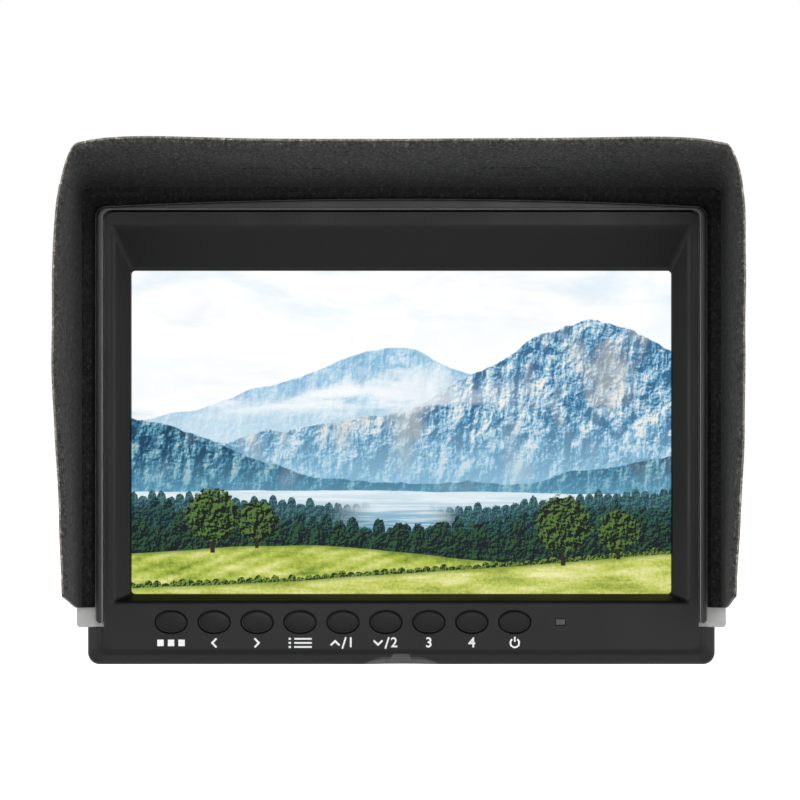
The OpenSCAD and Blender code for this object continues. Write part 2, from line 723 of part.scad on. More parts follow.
// The turns of the release spring, swept as one tube
module release_spring() color([0.7, 0.7, 0.72]) {
    z0 = rib_z;
    z1 = release_z - inner_h / 2;
    sides = 6;
    steps = 12 * spring_turns;
    mean_r = spring_r - spring_wire;
    rise = z1 - z0 - 2 * spring_wire - 0.1;
    points = [for (s = [0:steps], k = [0:sides - 1])
        let (a = 30 * s, b = 360 * k / sides, r = mean_r + spring_wire * cos(b))
        [r * cos(a), r * sin(a), z0 + spring_wire + 0.05 + rise * s / steps + spring_wire * sin(b)]];
    quads = [for (s = [0:steps - 1], k = [0:sides - 1])
        [s * sides + k, (s + 1) * sides + k, (s + 1) * sides + (k + 1) % sides, s * sides + (k + 1) % sides]];
    sides_faces = [for (q = quads, t = [[0, 1, 2], [0, 2, 3]]) [q[t[0]], q[t[1]], q[t[2]]]];
    start_cap = [for (k = [0:sides - 1]) k];
    end_cap = [for (k = [sides - 1:-1:0]) steps * sides + k];
    translate([0, spring_y, 0]) polyhedron(points, concat(sides_faces, [start_cap], [end_cap]));
}

// Hood: the outline of the rail, with rounded corners and a low arch along its top
module rail_outline(grow) {
    x = rail_x + grow;
    top = rail_top + rail_edge + grow;
    arch_x = x - rail_corner_r;
    intersection() {
        round_rect([-x, x], [rail_z - 2 * rail_corner_r, top], rail_corner_r);
        round_rect([-x, x], [rail_z - grow, top + 2 * rail_foot_r], rail_foot_r);
    }
    polygon(concat([[-arch_x, top - 1], [arch_x, top - 1]],
        [for (i = [-arch_steps:arch_steps]) [-arch_x * i / arch_steps, top + rail_arch * (1 - pow(i / arch_steps, 2))]]));
}

module hood_carrier_plate() color([0.68, 0.68, 0.68]) along_y(plate_y, plate_y + plate_t) difference() {
    round_rect([-plate_x, plate_x], [plate_z, skirt_top - 0.4], 1);
    translate([-plate_in_x, plate_z - 2]) square([2 * plate_in_x, plate_top - plate_z + 2]);
}

module hood_frame() color([0.3, 0.3, 0.3]) intersection() {
    along_y(rail_front, plate_y) difference() {
        rail_outline(0);
        round_rect([-rail_in_x, rail_in_x], [plate_z - 9, rail_top], rail_in_r);
    }
    along_z(plate_z - 2, arch_top + 4) polygon([[-rail_x, plate_y + eps], [-rail_x, rail_front + 0.6],
        [-rail_x + 0.6, rail_front], [rail_x - 0.6, rail_front], [rail_x, rail_front + 0.6], [rail_x, plate_y + eps]]);
}

module hood_skirt() color([0.1, 0.1, 0.1]) {
    inner = rail_x + 0.1;
    base_y = plate_y - skirt_t;
    face = hinge_y + air;
    top_face = top_hinge_y + air;
    along_y(base_y, plate_y) difference() {
        round_rect([-plate_x, plate_x], [flap_z, skirt_top], 4);
        union() {
            rail_outline(0.1);
            translate([-inner, flap_z - 1]) square([2 * inner, rail_top - flap_z]);
        }
    }
    for (side = [0, 1]) mirror([side, 0, 0]) along_z(flap_z, skirt_top - 4)
        polygon([[inner, base_y + 0.5], [inner, base_y], [hinge_x, face], [plate_x, face], [plate_x, base_y + 0.5]]);
    along_x(4 - plate_x, plate_x - 4) polygon([[base_y + 0.5, arch_top + 0.1], [base_y, arch_top + 0.1],
        [top_face, top_hinge_z], [top_face, skirt_top], [base_y + 0.5, skirt_top]]);
    for (side = [0, 1]) mirror([side, 0, 0]) along_x(plate_x - 4, plate_x)
        polygon([[base_y, skirt_top - 4.1], [face, side_top + 0.5], [top_face, side_top + 1.6],
            [top_face, skirt_top - 1.6], [base_y, skirt_top - 1.6]]);
}

// A side flap's layer between x0 and x1, counted outwards from its inner face
module side_layer(side, x0, x1, inset = 0) mirror([side < 0 ? 1 : 0, 0, 0]) {
    root = hinge_y - 0.2 - inset;
    front = hinge_y - flap_d + inset;
    along_x(hinge_x + x0, hinge_x + x1) polygon([[root, flap_z + inset], [front, flap_z + flap_rise + inset],
        [front, side_top - inset], [root, side_top - inset]]);
}

module side_patch(side) mirror([side < 0 ? 1 : 0, 0, 0]) {
    y = hinge_y - patch_from_hinge;
    z = top_hinge_z - patch_drop;
    box([hinge_x + flap_t, hinge_x + flap_t + patch_t], [y - patch_w / 2, y + patch_w / 2],
        [z - patch_w / 2, z + patch_w / 2]);
}

// A top flap's layer between t0 and t1, counted outwards from its inner face
module top_layer(t0, t1, inset = 0) translate([0, top_hinge_y, top_hinge_z]) rotate([-top_flare, 0, 0])
    box([inset - top_half, top_half - inset], [inset - top_flap_d, -0.2 - inset], [t0, t1]);

module top_loop_patches() color([0.1, 0.1, 0.1])
    translate([0, top_hinge_y, top_hinge_z]) rotate([-top_flare, 0, 0])
        for (side = [-1, 1]) {
            x = side * (hinge_x - patch_from_hinge);
            box([x - patch_w / 2, x + patch_w / 2], [-patch_drop - patch_w / 2, patch_w / 2 - patch_drop], [-patch_t, 0]);
        }

// The soft corner between the top flap's edge and the side flap: an arc that runs into a straight skirt
function top_surface(y) = top_hinge_z + (top_hinge_y - y) * tan(top_flare) + flap_t / cos(top_flare);
function corner_outline(y, inset) = let (
        z = top_surface(y) - inset,
        low = side_top + air,
        x = hinge_x + flap_t - inset,
        drop = min(corner_w, z - low - 0.5))
    concat([for (i = [0:6]) [top_half + (x - top_half) * sin(15 * i), z - drop * (1 - cos(15 * i))]], [[x, low]]);
module corner_wing(side) color([0.12, 0.12, 0.12]) {
    t = 1.4;
    rings = [for (k = [0:4]) let (y = top_hinge_y - 0.2 - k / 4 * (top_flap_d * cos(top_flare) - 0.2))
        concat([for (p = corner_outline(y, 0.2)) [side * p[0], y, p[1]]],
            [for (p = reversed(corner_outline(y, 0.2 + t))) [side * p[0], y, p[1]]])];
    n = len(rings[0]);
    points = [for (r = rings, p = r) p];
    walls = [for (k = [0:3], i = [0:n - 1]) let (a = k * n + i, b = k * n + (i + 1) % n)
        each [[a, b, b + n], [a, b + n, a + n]]];
    half = n / 2;
    first_cap = [for (i = [0:half - 2]) each [[i, n - 2 - i, i + 1], [i, n - 1 - i, n - 2 - i]]];
    last = 4 * n;
    last_cap = [for (f = first_cap) [last + f[0], last + f[2], last + f[1]]];
    faces = concat(walls, first_cap, last_cap);
    polyhedron(points, side > 0 ? faces : [for (f = faces) [f[0], f[2], f[1]]]);
}
function reversed(list) = [for (i = [len(list) - 1:-1:0]) list[i]];

module flap_cover_side(side) color([0.14, 0.14, 0.14]) side_layer(side, lining_t + board_t, flap_t);
module flap_board_side(side) color([0.5, 0.45, 0.4]) side_layer(side, lining_t, lining_t + board_t, board_inset);
module flap_lining_side(side) color([0.22, 0.22, 0.22]) side_layer(side, 0, lining_t);
module flap_patch_side(side) color([0.08, 0.08, 0.08]) side_patch(side);
module top_flap_cover() color([0.14, 0.14, 0.14]) top_layer(lining_t + board_t, flap_t);
module top_flap_board() color([0.5, 0.45, 0.4]) top_layer(lining_t, lining_t + board_t, board_inset);
module top_flap_lining() color([0.22, 0.22, 0.22]) top_layer(0, lining_t);

front_bezel();
rear_housing();
lcd_gasket();
lcd_glass();
backlight_unit();
lcd_tray();
lcd_tray_screws();
main_board();
board_chips();
board_screws();
key_board();
tact_switches();
status_light_pipe();
lcd_ribbon();
key_ribbon();
hdmi_socket();
jack_socket(jack_z[0]);  // audio_socket
jack_socket(jack_z[1]);  // earphone_socket
power_socket();
speaker();
tripod_nut();
tripod_bracket();
bracket_screws();
housing_screws();
battery_plate();
battery_contacts();
battery_plate_screws();
release_slider();
release_spring();
key(0);  // mode_key
key(1);  // left_key
key(2);  // right_key
key(3);  // menu_key
key(4);  // function_key_1
key(5);  // function_key_2
key(6);  // function_key_3
key(7);  // function_key_4
key(8);  // power_key
hood_carrier_plate();
hood_frame();
hood_skirt();
flap_cover_side(-1);  // left_flap_cover
flap_board_side(-1);  // left_flap_board
flap_lining_side(-1);  // left_flap_lining
flap_patch_side(-1);  // left_hook_patch
flap_cover_side(1);  // right_flap_cover
flap_board_side(1);  // right_flap_board
flap_lining_side(1);  // right_flap_lining
flap_patch_side(1);  // right_hook_patch
top_flap_cover();
top_flap_board();
top_flap_lining();
top_loop_patches();
corner_wing(-1);  // left_corner_wing
corner_wing(1);  // right_corner_wing
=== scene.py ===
"""Looks of the camera field monitor with its folding sun hood. Metres, +Z up, the screen faces -Y."""

import math
from functools import partial

import bmesh
import bpy
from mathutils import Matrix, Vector


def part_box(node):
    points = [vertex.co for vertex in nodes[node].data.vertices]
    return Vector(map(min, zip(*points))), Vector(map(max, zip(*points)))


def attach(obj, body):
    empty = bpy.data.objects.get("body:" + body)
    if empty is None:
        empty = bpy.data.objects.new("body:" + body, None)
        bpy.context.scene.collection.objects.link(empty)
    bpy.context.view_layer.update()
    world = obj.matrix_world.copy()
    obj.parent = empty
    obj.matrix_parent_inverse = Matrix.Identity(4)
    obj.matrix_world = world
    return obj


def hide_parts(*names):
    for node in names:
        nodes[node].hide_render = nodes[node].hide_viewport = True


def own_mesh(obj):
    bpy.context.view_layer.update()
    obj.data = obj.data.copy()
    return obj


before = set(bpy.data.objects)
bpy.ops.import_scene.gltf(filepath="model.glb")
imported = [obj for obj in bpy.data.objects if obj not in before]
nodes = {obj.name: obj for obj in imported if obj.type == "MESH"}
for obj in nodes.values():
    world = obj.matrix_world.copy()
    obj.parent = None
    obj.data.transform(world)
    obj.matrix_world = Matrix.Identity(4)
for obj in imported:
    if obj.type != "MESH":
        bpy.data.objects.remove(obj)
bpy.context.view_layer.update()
MM = 0.001
UPRIGHT = (math.pi / 2, 0, 0)  # turns a flat shape to face the front, and an upright one to lie along y


# ---------------------------------------------------------------- modelling helpers

def leave_edit():
    if bpy.context.mode != "OBJECT":
        bpy.ops.object.mode_set(mode="OBJECT")


def pick(piece):
    """Makes one piece the only selected and active object."""
    leave_edit()
    bpy.ops.object.select_all(action="DESELECT")
    piece.select_set(True)
    bpy.context.view_layer.objects.active = piece


def edit(piece):
    pick(piece)
    bpy.ops.object.mode_set(mode="EDIT")
    bpy.ops.mesh.select_all(action="DESELECT")


def choose_faces(piece, rule):
    """In edit mode, selects only the faces whose normal satisfies the rule."""
    bpy.ops.mesh.select_mode(type="FACE")
    bpy.ops.mesh.select_all(action="DESELECT")
    mesh = bmesh.from_edit_mesh(piece.data)
    for face in mesh.faces:
        face.select_set(rule(face.normal))
    mesh.select_flush_mode()
    bmesh.update_edit_mesh(piece.data)


def choose_all():
    bpy.ops.mesh.select_all(action="SELECT")


def draw_out(dx, dy, dz):
    """In edit mode, extrudes what is chosen by an amount in metres."""
    bpy.ops.mesh.extrude_region_move(TRANSFORM_OT_translate={"value": (dx, dy, dz)})


def widen(wide, tall, centre):
    """In edit mode, scales what is chosen along x and z about a point."""
    bpy.ops.transform.resize(value=(wide, 1, tall), center_override=centre)


def face_outwards():
    """Turns all faces outwards and leaves edit mode."""
    choose_all()
    bpy.ops.mesh.normals_make_consistent(inside=False)
    leave_edit()


def apply_modifiers(piece):
    pick(piece)
    for modifier in list(piece.modifiers):
        bpy.ops.object.modifier_apply(modifier=modifier.name)


def settle(piece):
    """Leaves the piece at the origin, unturned and unscaled, its place in its mesh."""
    pick(piece)
    bpy.ops.object.transform_apply(location=True, rotation=True, scale=True)


def smooth_by_angle(piece, degrees=35):
    pick(piece)
    bpy.ops.object.shade_smooth_by_angle(angle=math.radians(degrees))


def name_new(name):
    """The primitive just added becomes a piece with this name."""
    piece = bpy.context.active_object
    piece.name = name
    piece.data.name = name
    return piece


def new_piece(name, mesh):
    """A mesh becomes a piece of its own with this name."""
    piece = bpy.data.objects.new(name, mesh)
    piece.data.name = name
    bpy.context.scene.collection.objects.link(piece)
    return piece


def piece_from(name, points, faces):
    mesh = bpy.data.meshes.new(name)
    mesh.from_pydata(points, [], faces)
    return new_piece(name, mesh)


def dress(piece, body, material, replaced=()):
    piece.data.materials.clear()
    piece.data.materials.append(material)
    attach(piece, body)
    if replaced:
        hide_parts(*replaced)


def every_edge(a, b):
    return 1.0


def rounded_copy(node, name, width, share):
    """A copy of a moulded part whose sharp edges are rounded by width mm. share gives the part of width,
    from 0 to 1, for an edge between two points in mm."""
    piece = new_piece(name, nodes[node].data.copy())
    piece.data.materials.clear()
    edit(piece)
    choose_all()
    bpy.ops.mesh.remove_doubles(threshold=0.000002)
    choose_all()
    bpy.ops.mesh.dissolve_limited(angle_limit=math.radians(1.5))
    mesh = bmesh.from_edit_mesh(piece.data)
    shares = mesh.edges.layers.float.new("bevel_weight_edge")
    for edge in mesh.edges:
        if len(edge.link_faces) == 2 and edge.calc_face_angle() > math.radians(25):
            edge[shares] = share(*(vertex.co / MM for vertex in edge.verts)) if edge.is_convex else 0.0
    bmesh.update_edit_mesh(piece.data)
    leave_edit()
    rounding = piece.modifiers.new("rounding", "BEVEL")
    rounding.width = width * MM
    rounding.segments = 3
    rounding.limit_method = "WEIGHT"
    rounding.use_clamp_overlap = False
    rounding.loop_slide = False
    apply_modifiers(piece)
    even_shading(piece)
    return piece


def even_shading(piece, degrees=40):
    """Smooth across rounded edges and flat on flat faces."""
    smooth_by_angle(piece, degrees)
    evening = piece.modifiers.new("even shading", "WEIGHTED_NORMAL")
    evening.keep_sharp = True
    apply_modifiers(piece)


def tapered_block(name, rings, corner, steps=6):
    """A solid that runs through rounded rectangles, one behind the other. A ring is y, x low, x high, z low,
    z high in mm; corner is the radius of its corners."""
    y, x0, x1, z0, z1 = rings[0]
    bpy.ops.mesh.primitive_plane_add(size=1, location=(0, 0, 0), rotation=UPRIGHT)
    block = name_new(name)
    block.scale = ((x1 - x0) * MM, (z1 - z0) * MM, 1)
    block.location = ((x0 + x1) / 2 * MM, y * MM, (z0 + z1) / 2 * MM)
    settle(block)
    edit(block)
    choose_all()
    bpy.ops.mesh.bevel(offset=corner * MM, segments=steps, affect="VERTICES")
    choose_all()
    for before, after in zip(rings, rings[1:]):
        middle, goal = ([(x0 + x1) / 2 * MM, 0, (z0 + z1) / 2 * MM] for y, x0, x1, z0, z1 in (before, after))
        draw_out(goal[0] - middle[0], (after[0] - before[0]) * MM, goal[2] - middle[2])
        wide, tall = ((after[k + 1] - after[k]) / (before[k + 1] - before[k]) for k in (1, 3))
        widen(wide, tall, goal)
    face_outwards()
    return block


def between(first, second, share):
    return tuple(a + (b - a) * share for a, b in zip(first, second))


def eased_corner(start, corner, end, steps=5):
    """Rings that go round a soft corner instead of over a sharp one."""
    shares = [k / steps for k in range(steps + 1)]
    return [between(between(start, corner, share), between(corner, end, share), share) for share in shares]


def carve(piece, tool, operation="DIFFERENCE"):
    """Cuts one piece with another, or joins it on, and throws the tool away."""
    cut = piece.modifiers.new("cut", "BOOLEAN")
    cut.operation = operation
    cut.solver = "EXACT"
    cut.object = tool
    apply_modifiers(piece)
    bpy.data.objects.remove(tool)


def box_tool(x, y, z):
    """A plain box for cutting, between two places in mm along each axis."""
    bpy.ops.mesh.primitive_cube_add(size=1, location=[(a + b) / 2 * MM for a, b in (x, y, z)])
    tool = name_new("cutter")
    tool.scale = [(b - a) * MM for a, b in (x, y, z)]
    settle(tool)
    return tool


def peg_tool(x, z, radius, y0, y1):
    """A peg along y, for cutting or joining on."""
    bpy.ops.mesh.primitive_cylinder_add(vertices=32, radius=radius * MM, depth=(y1 - y0) * MM,
                                        location=(x * MM, (y0 + y1) / 2 * MM, z * MM), rotation=UPRIGHT)
    tool = name_new("cutter")
    settle(tool)
    return tool


def together(tools):
    """Several tools that don't touch each other, as one."""
    pick(tools[0])
    for tool in tools:
        tool.select_set(True)
    bpy.ops.object.join()
    return bpy.context.active_object


# ---------------------------------------------------------------- finishes

class Finish:
    """A material's node tree, built one line at a time."""

    def __init__(self, name):
        self.material = bpy.data.materials.new(name)
        self.material.use_nodes = True
        self.tree = self.material.node_tree
        self.tree.nodes.clear()
        self.output = self.add("ShaderNodeOutputMaterial")
        self.place = self.add("ShaderNodeTexCoord").outputs["Object"]

    def add(self, kind, **settings):
        node = self.tree.nodes.new(kind)
        for key, value in settings.items():
            setattr(node, key, value)
        return node

    def set(self, socket, value):
        if isinstance(value, bpy.types.NodeSocket):
            self.tree.links.new(value, socket)
        else:
            socket.default_value = value

    def math(self, operation, *values, clamp=False):
        node = self.add("ShaderNodeMath", operation=operation, use_clamp=clamp)
        for socket, value in zip(node.inputs, values):
            self.set(socket, value)
        return node.outputs[0]

    def plus(self, first, second):
        return self.math("ADD", first, second)

    def minus(self, first, second, clamp=False):
        return self.math("SUBTRACT", first, second, clamp=clamp)

    def times(self, first, second, clamp=False):
        return self.math("MULTIPLY", first, second, clamp=clamp)

    def scaled(self, value, factor, offset):
        """value times factor, plus offset."""
        return self.math("MULTIPLY_ADD", value, factor, offset)

    def split(self, vector):
        node = self.add("ShaderNodeSeparateXYZ")
        self.set(node.inputs[0], vector)
        return node.outputs

    def join(self, x, y, z):
        node = self.add("ShaderNodeCombineXYZ")
        for socket, value in zip(node.inputs, (x, y, z)):
            self.set(socket, value)
        return node.outputs[0]

    def stretch(self, vector, scale, turn=(0, 0, 0), shift=(0, 0, 0)):
        node = self.add("ShaderNodeMapping")
        self.set(node.inputs["Vector"], vector)
        node.inputs["Scale"].default_value = scale
        node.inputs["Rotation"].default_value = turn
        node.inputs["Location"].default_value = shift
        return node.outputs[0]

    def noise(self, vector, scale, detail=3.0, roughness=0.5, warp=0.0):
        node = self.add("ShaderNodeTexNoise", noise_type="FBM")
        self.set(node.inputs["Vector"], vector)
        node.inputs["Scale"].default_value = scale
        node.inputs["Detail"].default_value = detail
        node.inputs["Roughness"].default_value = roughness
        node.inputs["Distortion"].default_value = warp
        return node.outputs["Fac"]

    def random(self, value):
        node = self.add("ShaderNodeTexWhiteNoise", noise_dimensions="1D")
        self.set(node.inputs["W"], value)
        return node.outputs["Value"]

    def fade(self, value, low, high, to_low=0.0, to_high=1.0):
        node = self.add("ShaderNodeMapRange", interpolation_type="SMOOTHSTEP")
        for key, number in (("Value", value), ("From Min", low), ("From Max", high), ("To Min", to_low),
                            ("To Max", to_high)):
            self.set(node.inputs[key], number)
        return node.outputs[0]

    def mix(self, amount, first, second, blend="MIX"):
        node = self.add("ShaderNodeMix", data_type="RGBA", blend_type=blend)
        self.set(node.inputs["Factor"], amount)
        self.set(node.inputs["A"], first if isinstance(first, bpy.types.NodeSocket) else tone(first))
        self.set(node.inputs["B"], second if isinstance(second, bpy.types.NodeSocket) else tone(second))
        return node.outputs["Result"]

    def ramp(self, value, *stops, curve="LINEAR"):
        node = self.add("ShaderNodeValToRGB")
        node.color_ramp.interpolation = curve
        spare = node.color_ramp.elements
        while len(spare) < len(stops):
            spare.new(0.5)
        for element, (place, colour) in zip(spare, stops):
            element.position = place
            element.color = tone(colour)
        self.set(node.inputs[0], value)
        return node.outputs["Color"]

    def bump(self, height, depth):
        node = self.add("ShaderNodeBump")
        node.inputs["Strength"].default_value = 1.0
        node.inputs["Distance"].default_value = depth
        self.set(node.inputs["Height"], height)
        return node.outputs["Normal"]

    def surface(self, colour, roughness, normal=None, **others):
        shader = self.add("ShaderNodeBsdfPrincipled")
        self.set(shader.inputs["Base Color"], tone(colour) if isinstance(colour, str) else colour)
        self.set(shader.inputs["Roughness"], roughness)
        if normal is not None:
            self.set(shader.inputs["Normal"], normal)
        for key, value in others.items():
            key = key.replace("_", " ").title().replace("Ior", "IOR")
            self.set(shader.inputs[key], tone(value) if isinstance(value, str) else value)
        self.tree.links.new(shader.outputs[0], self.output.inputs["Surface"])
        return self.material


def tone(colour):
    """A colour as a shader wants it: a hex code as seen on a screen, or a grey from 0 to 1 as it is."""
    if isinstance(colour, (int, float)):
        return (colour, colour, colour, 1)
    if not isinstance(colour, str):
        return colour
    parts = [int(colour[k:k + 2], 16) / 255 for k in (1, 3, 5)]
    return tuple(c / 12.92 if c < 0.04045 else ((c + 0.055) / 1.055) ** 2.4 for c in parts) + (1,)


def moulded_plastic(name, low, high, gloss=0.42, grain=3200, depth=0.000012, specular=0.5, edge=None):
    """Satin moulded plastic: a fine spark-eroded grain, slow patches of tone and faint handling marks. edge is
    the tone of a painted highlight on the rounded front edges, where they turn partly sideways."""
    f = Finish(name)
    patches = f.noise(f.place, 28, detail=3)
    fine = f.noise(f.place, grain, detail=3, roughness=0.65)
    marks = f.noise(f.stretch(f.place, (1, 1, 0.22), turn=(0.3, 0.5, 0.9)), 900, detail=2)
    colour = f.mix(f.fade(f.plus(f.times(patches, 0.6), f.times(fine, 0.4)), 0.36, 0.64), low, high)
    if edge:
        # painted highlight: rounded edges that turn partly sideways are painted towards the edge tone
        facing = f.math("ABSOLUTE", f.split(f.add("ShaderNodeNewGeometry").outputs["Normal"])[1])
        painted_edge_highlight = f.times(f.fade(facing, 0.2, 0.45), f.fade(facing, 0.95, 0.75))
        colour = f.mix(f.times(painted_edge_highlight, f.fade(marks, 0.2, 0.7, 0.75, 1.0)), colour, edge)
    rough = f.plus(f.fade(patches, 0.3, 0.7, gloss - 0.05, gloss + 0.05), f.times(marks, 0.06))
    normal = f.bump(fine, depth)
    return f.surface(colour, rough, normal, specular_ior_level=specular)


def metal(name, low, high, gloss=0.3, brush=(1, 1, 1), grain=700, depth=0.000008):
    """Plated or turned metal with fine brushing and tiny stains."""
    f = Finish(name)
    lines = f.noise(f.stretch(f.place, brush), grain, detail=4, roughness=0.6)
    stains = f.noise(f.place, 120, detail=4, roughness=0.6)
    colour = f.mix(f.fade(f.scaled(lines, 0.5, f.times(stains, 0.5)), 0.35, 0.68), low, high)
    rough = f.fade(stains, 0.3, 0.75, gloss - 0.06, gloss + 0.1)
    return f.surface(colour, rough, f.bump(lines, depth), metallic=1.0)


def circuit_board():
    """Green solder mask with copper tracks under it and rows of pale pads."""
    f = Finish("Circuit board")
    x, y, z = f.split(f.place)
    cell = f.add("ShaderNodeTexVoronoi", distance="CHEBYCHEV", feature="F1")
    f.set(cell.inputs["Vector"], f.join(x, 0.0, z))
    cell.inputs["Scale"].default_value = 210
    cell.inputs["Randomness"].default_value = 0.35
    tracks = f.add("ShaderNodeTexBrick", offset=0.31, squash=0.6)
    f.set(tracks.inputs["Vector"], f.join(x, z, 0.0))
    tracks.inputs["Scale"].default_value = 260
    tracks.inputs["Mortar Size"].default_value = 0.035
    tracks.inputs["Color1"].default_value = (0, 0, 0, 1)
    tracks.inputs["Color2"].default_value = (0.25, 0.25, 0.25, 1)
    tracks.inputs["Mortar"].default_value = (1, 1, 1, 1)
    mask = f.mix(tracks.outputs["Color"], "#0c3a22", "#16593a")
    pads = f.fade(cell.outputs["Distance"], 0.10, 0.13, 1.0, 0.0)
    colour = f.mix(pads, mask, "#b9b7a8")
    return f.surface(colour, f.fade(pads, 0, 1, 0.35, 0.25), f.bump(tracks.outputs["Color"], 0.00003))


def felt(name, shadow, middle, fibre, specks=1.0, pile=1.0, deep=1.0):
    """Brushed felt or foam: a mottled dark ground under short light fibres lying every way. deep is painted
    shade: the colour darkens towards the fold at the back of the hood, down to deep of itself."""
    f = Finish(name)
    nap = f.stretch(f.place, (1.0, 0.4, 1.0))
    cloud = f.noise(f.place, 60, detail=2, roughness=0.6)
    mottle = f.noise(nap, 900, detail=2, roughness=0.75)
    ground = f.noise(nap, 2600, detail=1, roughness=0.7)
    lays = []
    for turn, seed in (((0.2, 0.5, 0.3), 0.0), ((-0.3, -0.9, -0.2), 0.47)):
        lay = f.stretch(f.place, (1.0, 0.22, 0.6), turn=turn, shift=(seed, seed, seed))
        lays.append(f.noise(lay, 1300, detail=1, warp=0.5))
    strands = f.math("MAXIMUM", *lays)
    light = f.fade(strands, 0.60, 0.74)
    colour = f.mix(f.fade(f.scaled(mottle, 0.6, f.times(ground, 0.4)), 0.38, 0.62), shadow, middle)
    colour = f.mix(f.times(f.fade(cloud, 0.35, 0.7), 0.3), colour, middle)
    colour = f.mix(f.times(light, f.times(f.fade(mottle, 0.3, 0.7, 0.3, 1.0), 0.7 * specks)), colour, fibre)
    # painted shade: the felt grows darker towards the fold at the back of the hood, from y = -85 mm to -18 mm
    if deep < 1:
        x, y, z = f.split(f.place)
        painted_fold_shade = f.fade(y, -0.085, -0.018, 1.0, deep)
        colour = f.mix(1.0, colour, f.join(painted_fold_shade, painted_fold_shade, painted_fold_shade), blend="MULTIPLY")
    normal = f.bump(f.scaled(strands, 0.4, mottle), 0.0003 * pile)
    return f.surface(colour, 0.95, normal, specular_ior_level=0.0, sheen_weight=0.04, sheen_roughness=0.6)


def woven(name, low, high, across, pitch=0.0007, depth=0.00008):
    """Plain-woven nylon, its threads crossing over each other in the two directions that across names."""
    f = Finish(name)
    part = dict(zip("xyz", f.split(f.place)))
    warp = f.times(part[across[0]], 1 / pitch)
    weft = f.times(part[across[1]], 1 / pitch)
    threads = []
    for along, over in ((warp, weft), (weft, warp)):
        row = f.math("FLOOR", along)
        bulge = f.math("SINE", f.times(f.math("FRACT", along), math.pi))
        shift = f.math("MODULO", row, 2.0)
        lift = f.math("SINE", f.times(f.plus(over, shift), math.pi))
        tint = f.times(f.random(row), 0.25)
        threads.append(f.plus(f.times(bulge, f.scaled(lift, 0.35, 0.6)), tint))
    height = f.math("MAXIMUM", threads[0], threads[1])
    cloud = f.noise(f.place, 40, detail=3)
    colour = f.mix(f.fade(f.scaled(cloud, 0.35, f.times(height, 0.65)), 0.3, 0.85), low, high)
    return f.surface(colour, f.fade(height, 0.2, 1.0, 0.75, 0.5), f.bump(height, depth),
                     specular_ior_level=0.3, sheen_weight=0.1)


def hooks(name, low, high):
    """Hook and loop tape: rows of tiny stubs on a dark tape."""
    f = Finish(name)
    x, y, z = f.split(f.place)
    stub = f.add("ShaderNodeTexVoronoi", feature="F1")
    f.set(stub.inputs["Vector"], f.join(x, y, z))
    stub.inputs["Scale"].default_value = 1100
    stub.inputs["Randomness"].default_value = 0.35
    tops = f.fade(stub.outputs["Distance"], 0.15, 0.5, 1.0, 0.0)
    fuzz = f.noise(f.place, 1600, detail=3)
    colour = f.mix(f.times(tops, f.fade(fuzz, 0.2, 0.8, 0.5, 1.0)), low, high)
    return f.surface(colour, 0.6, f.bump(tops, 0.00025))


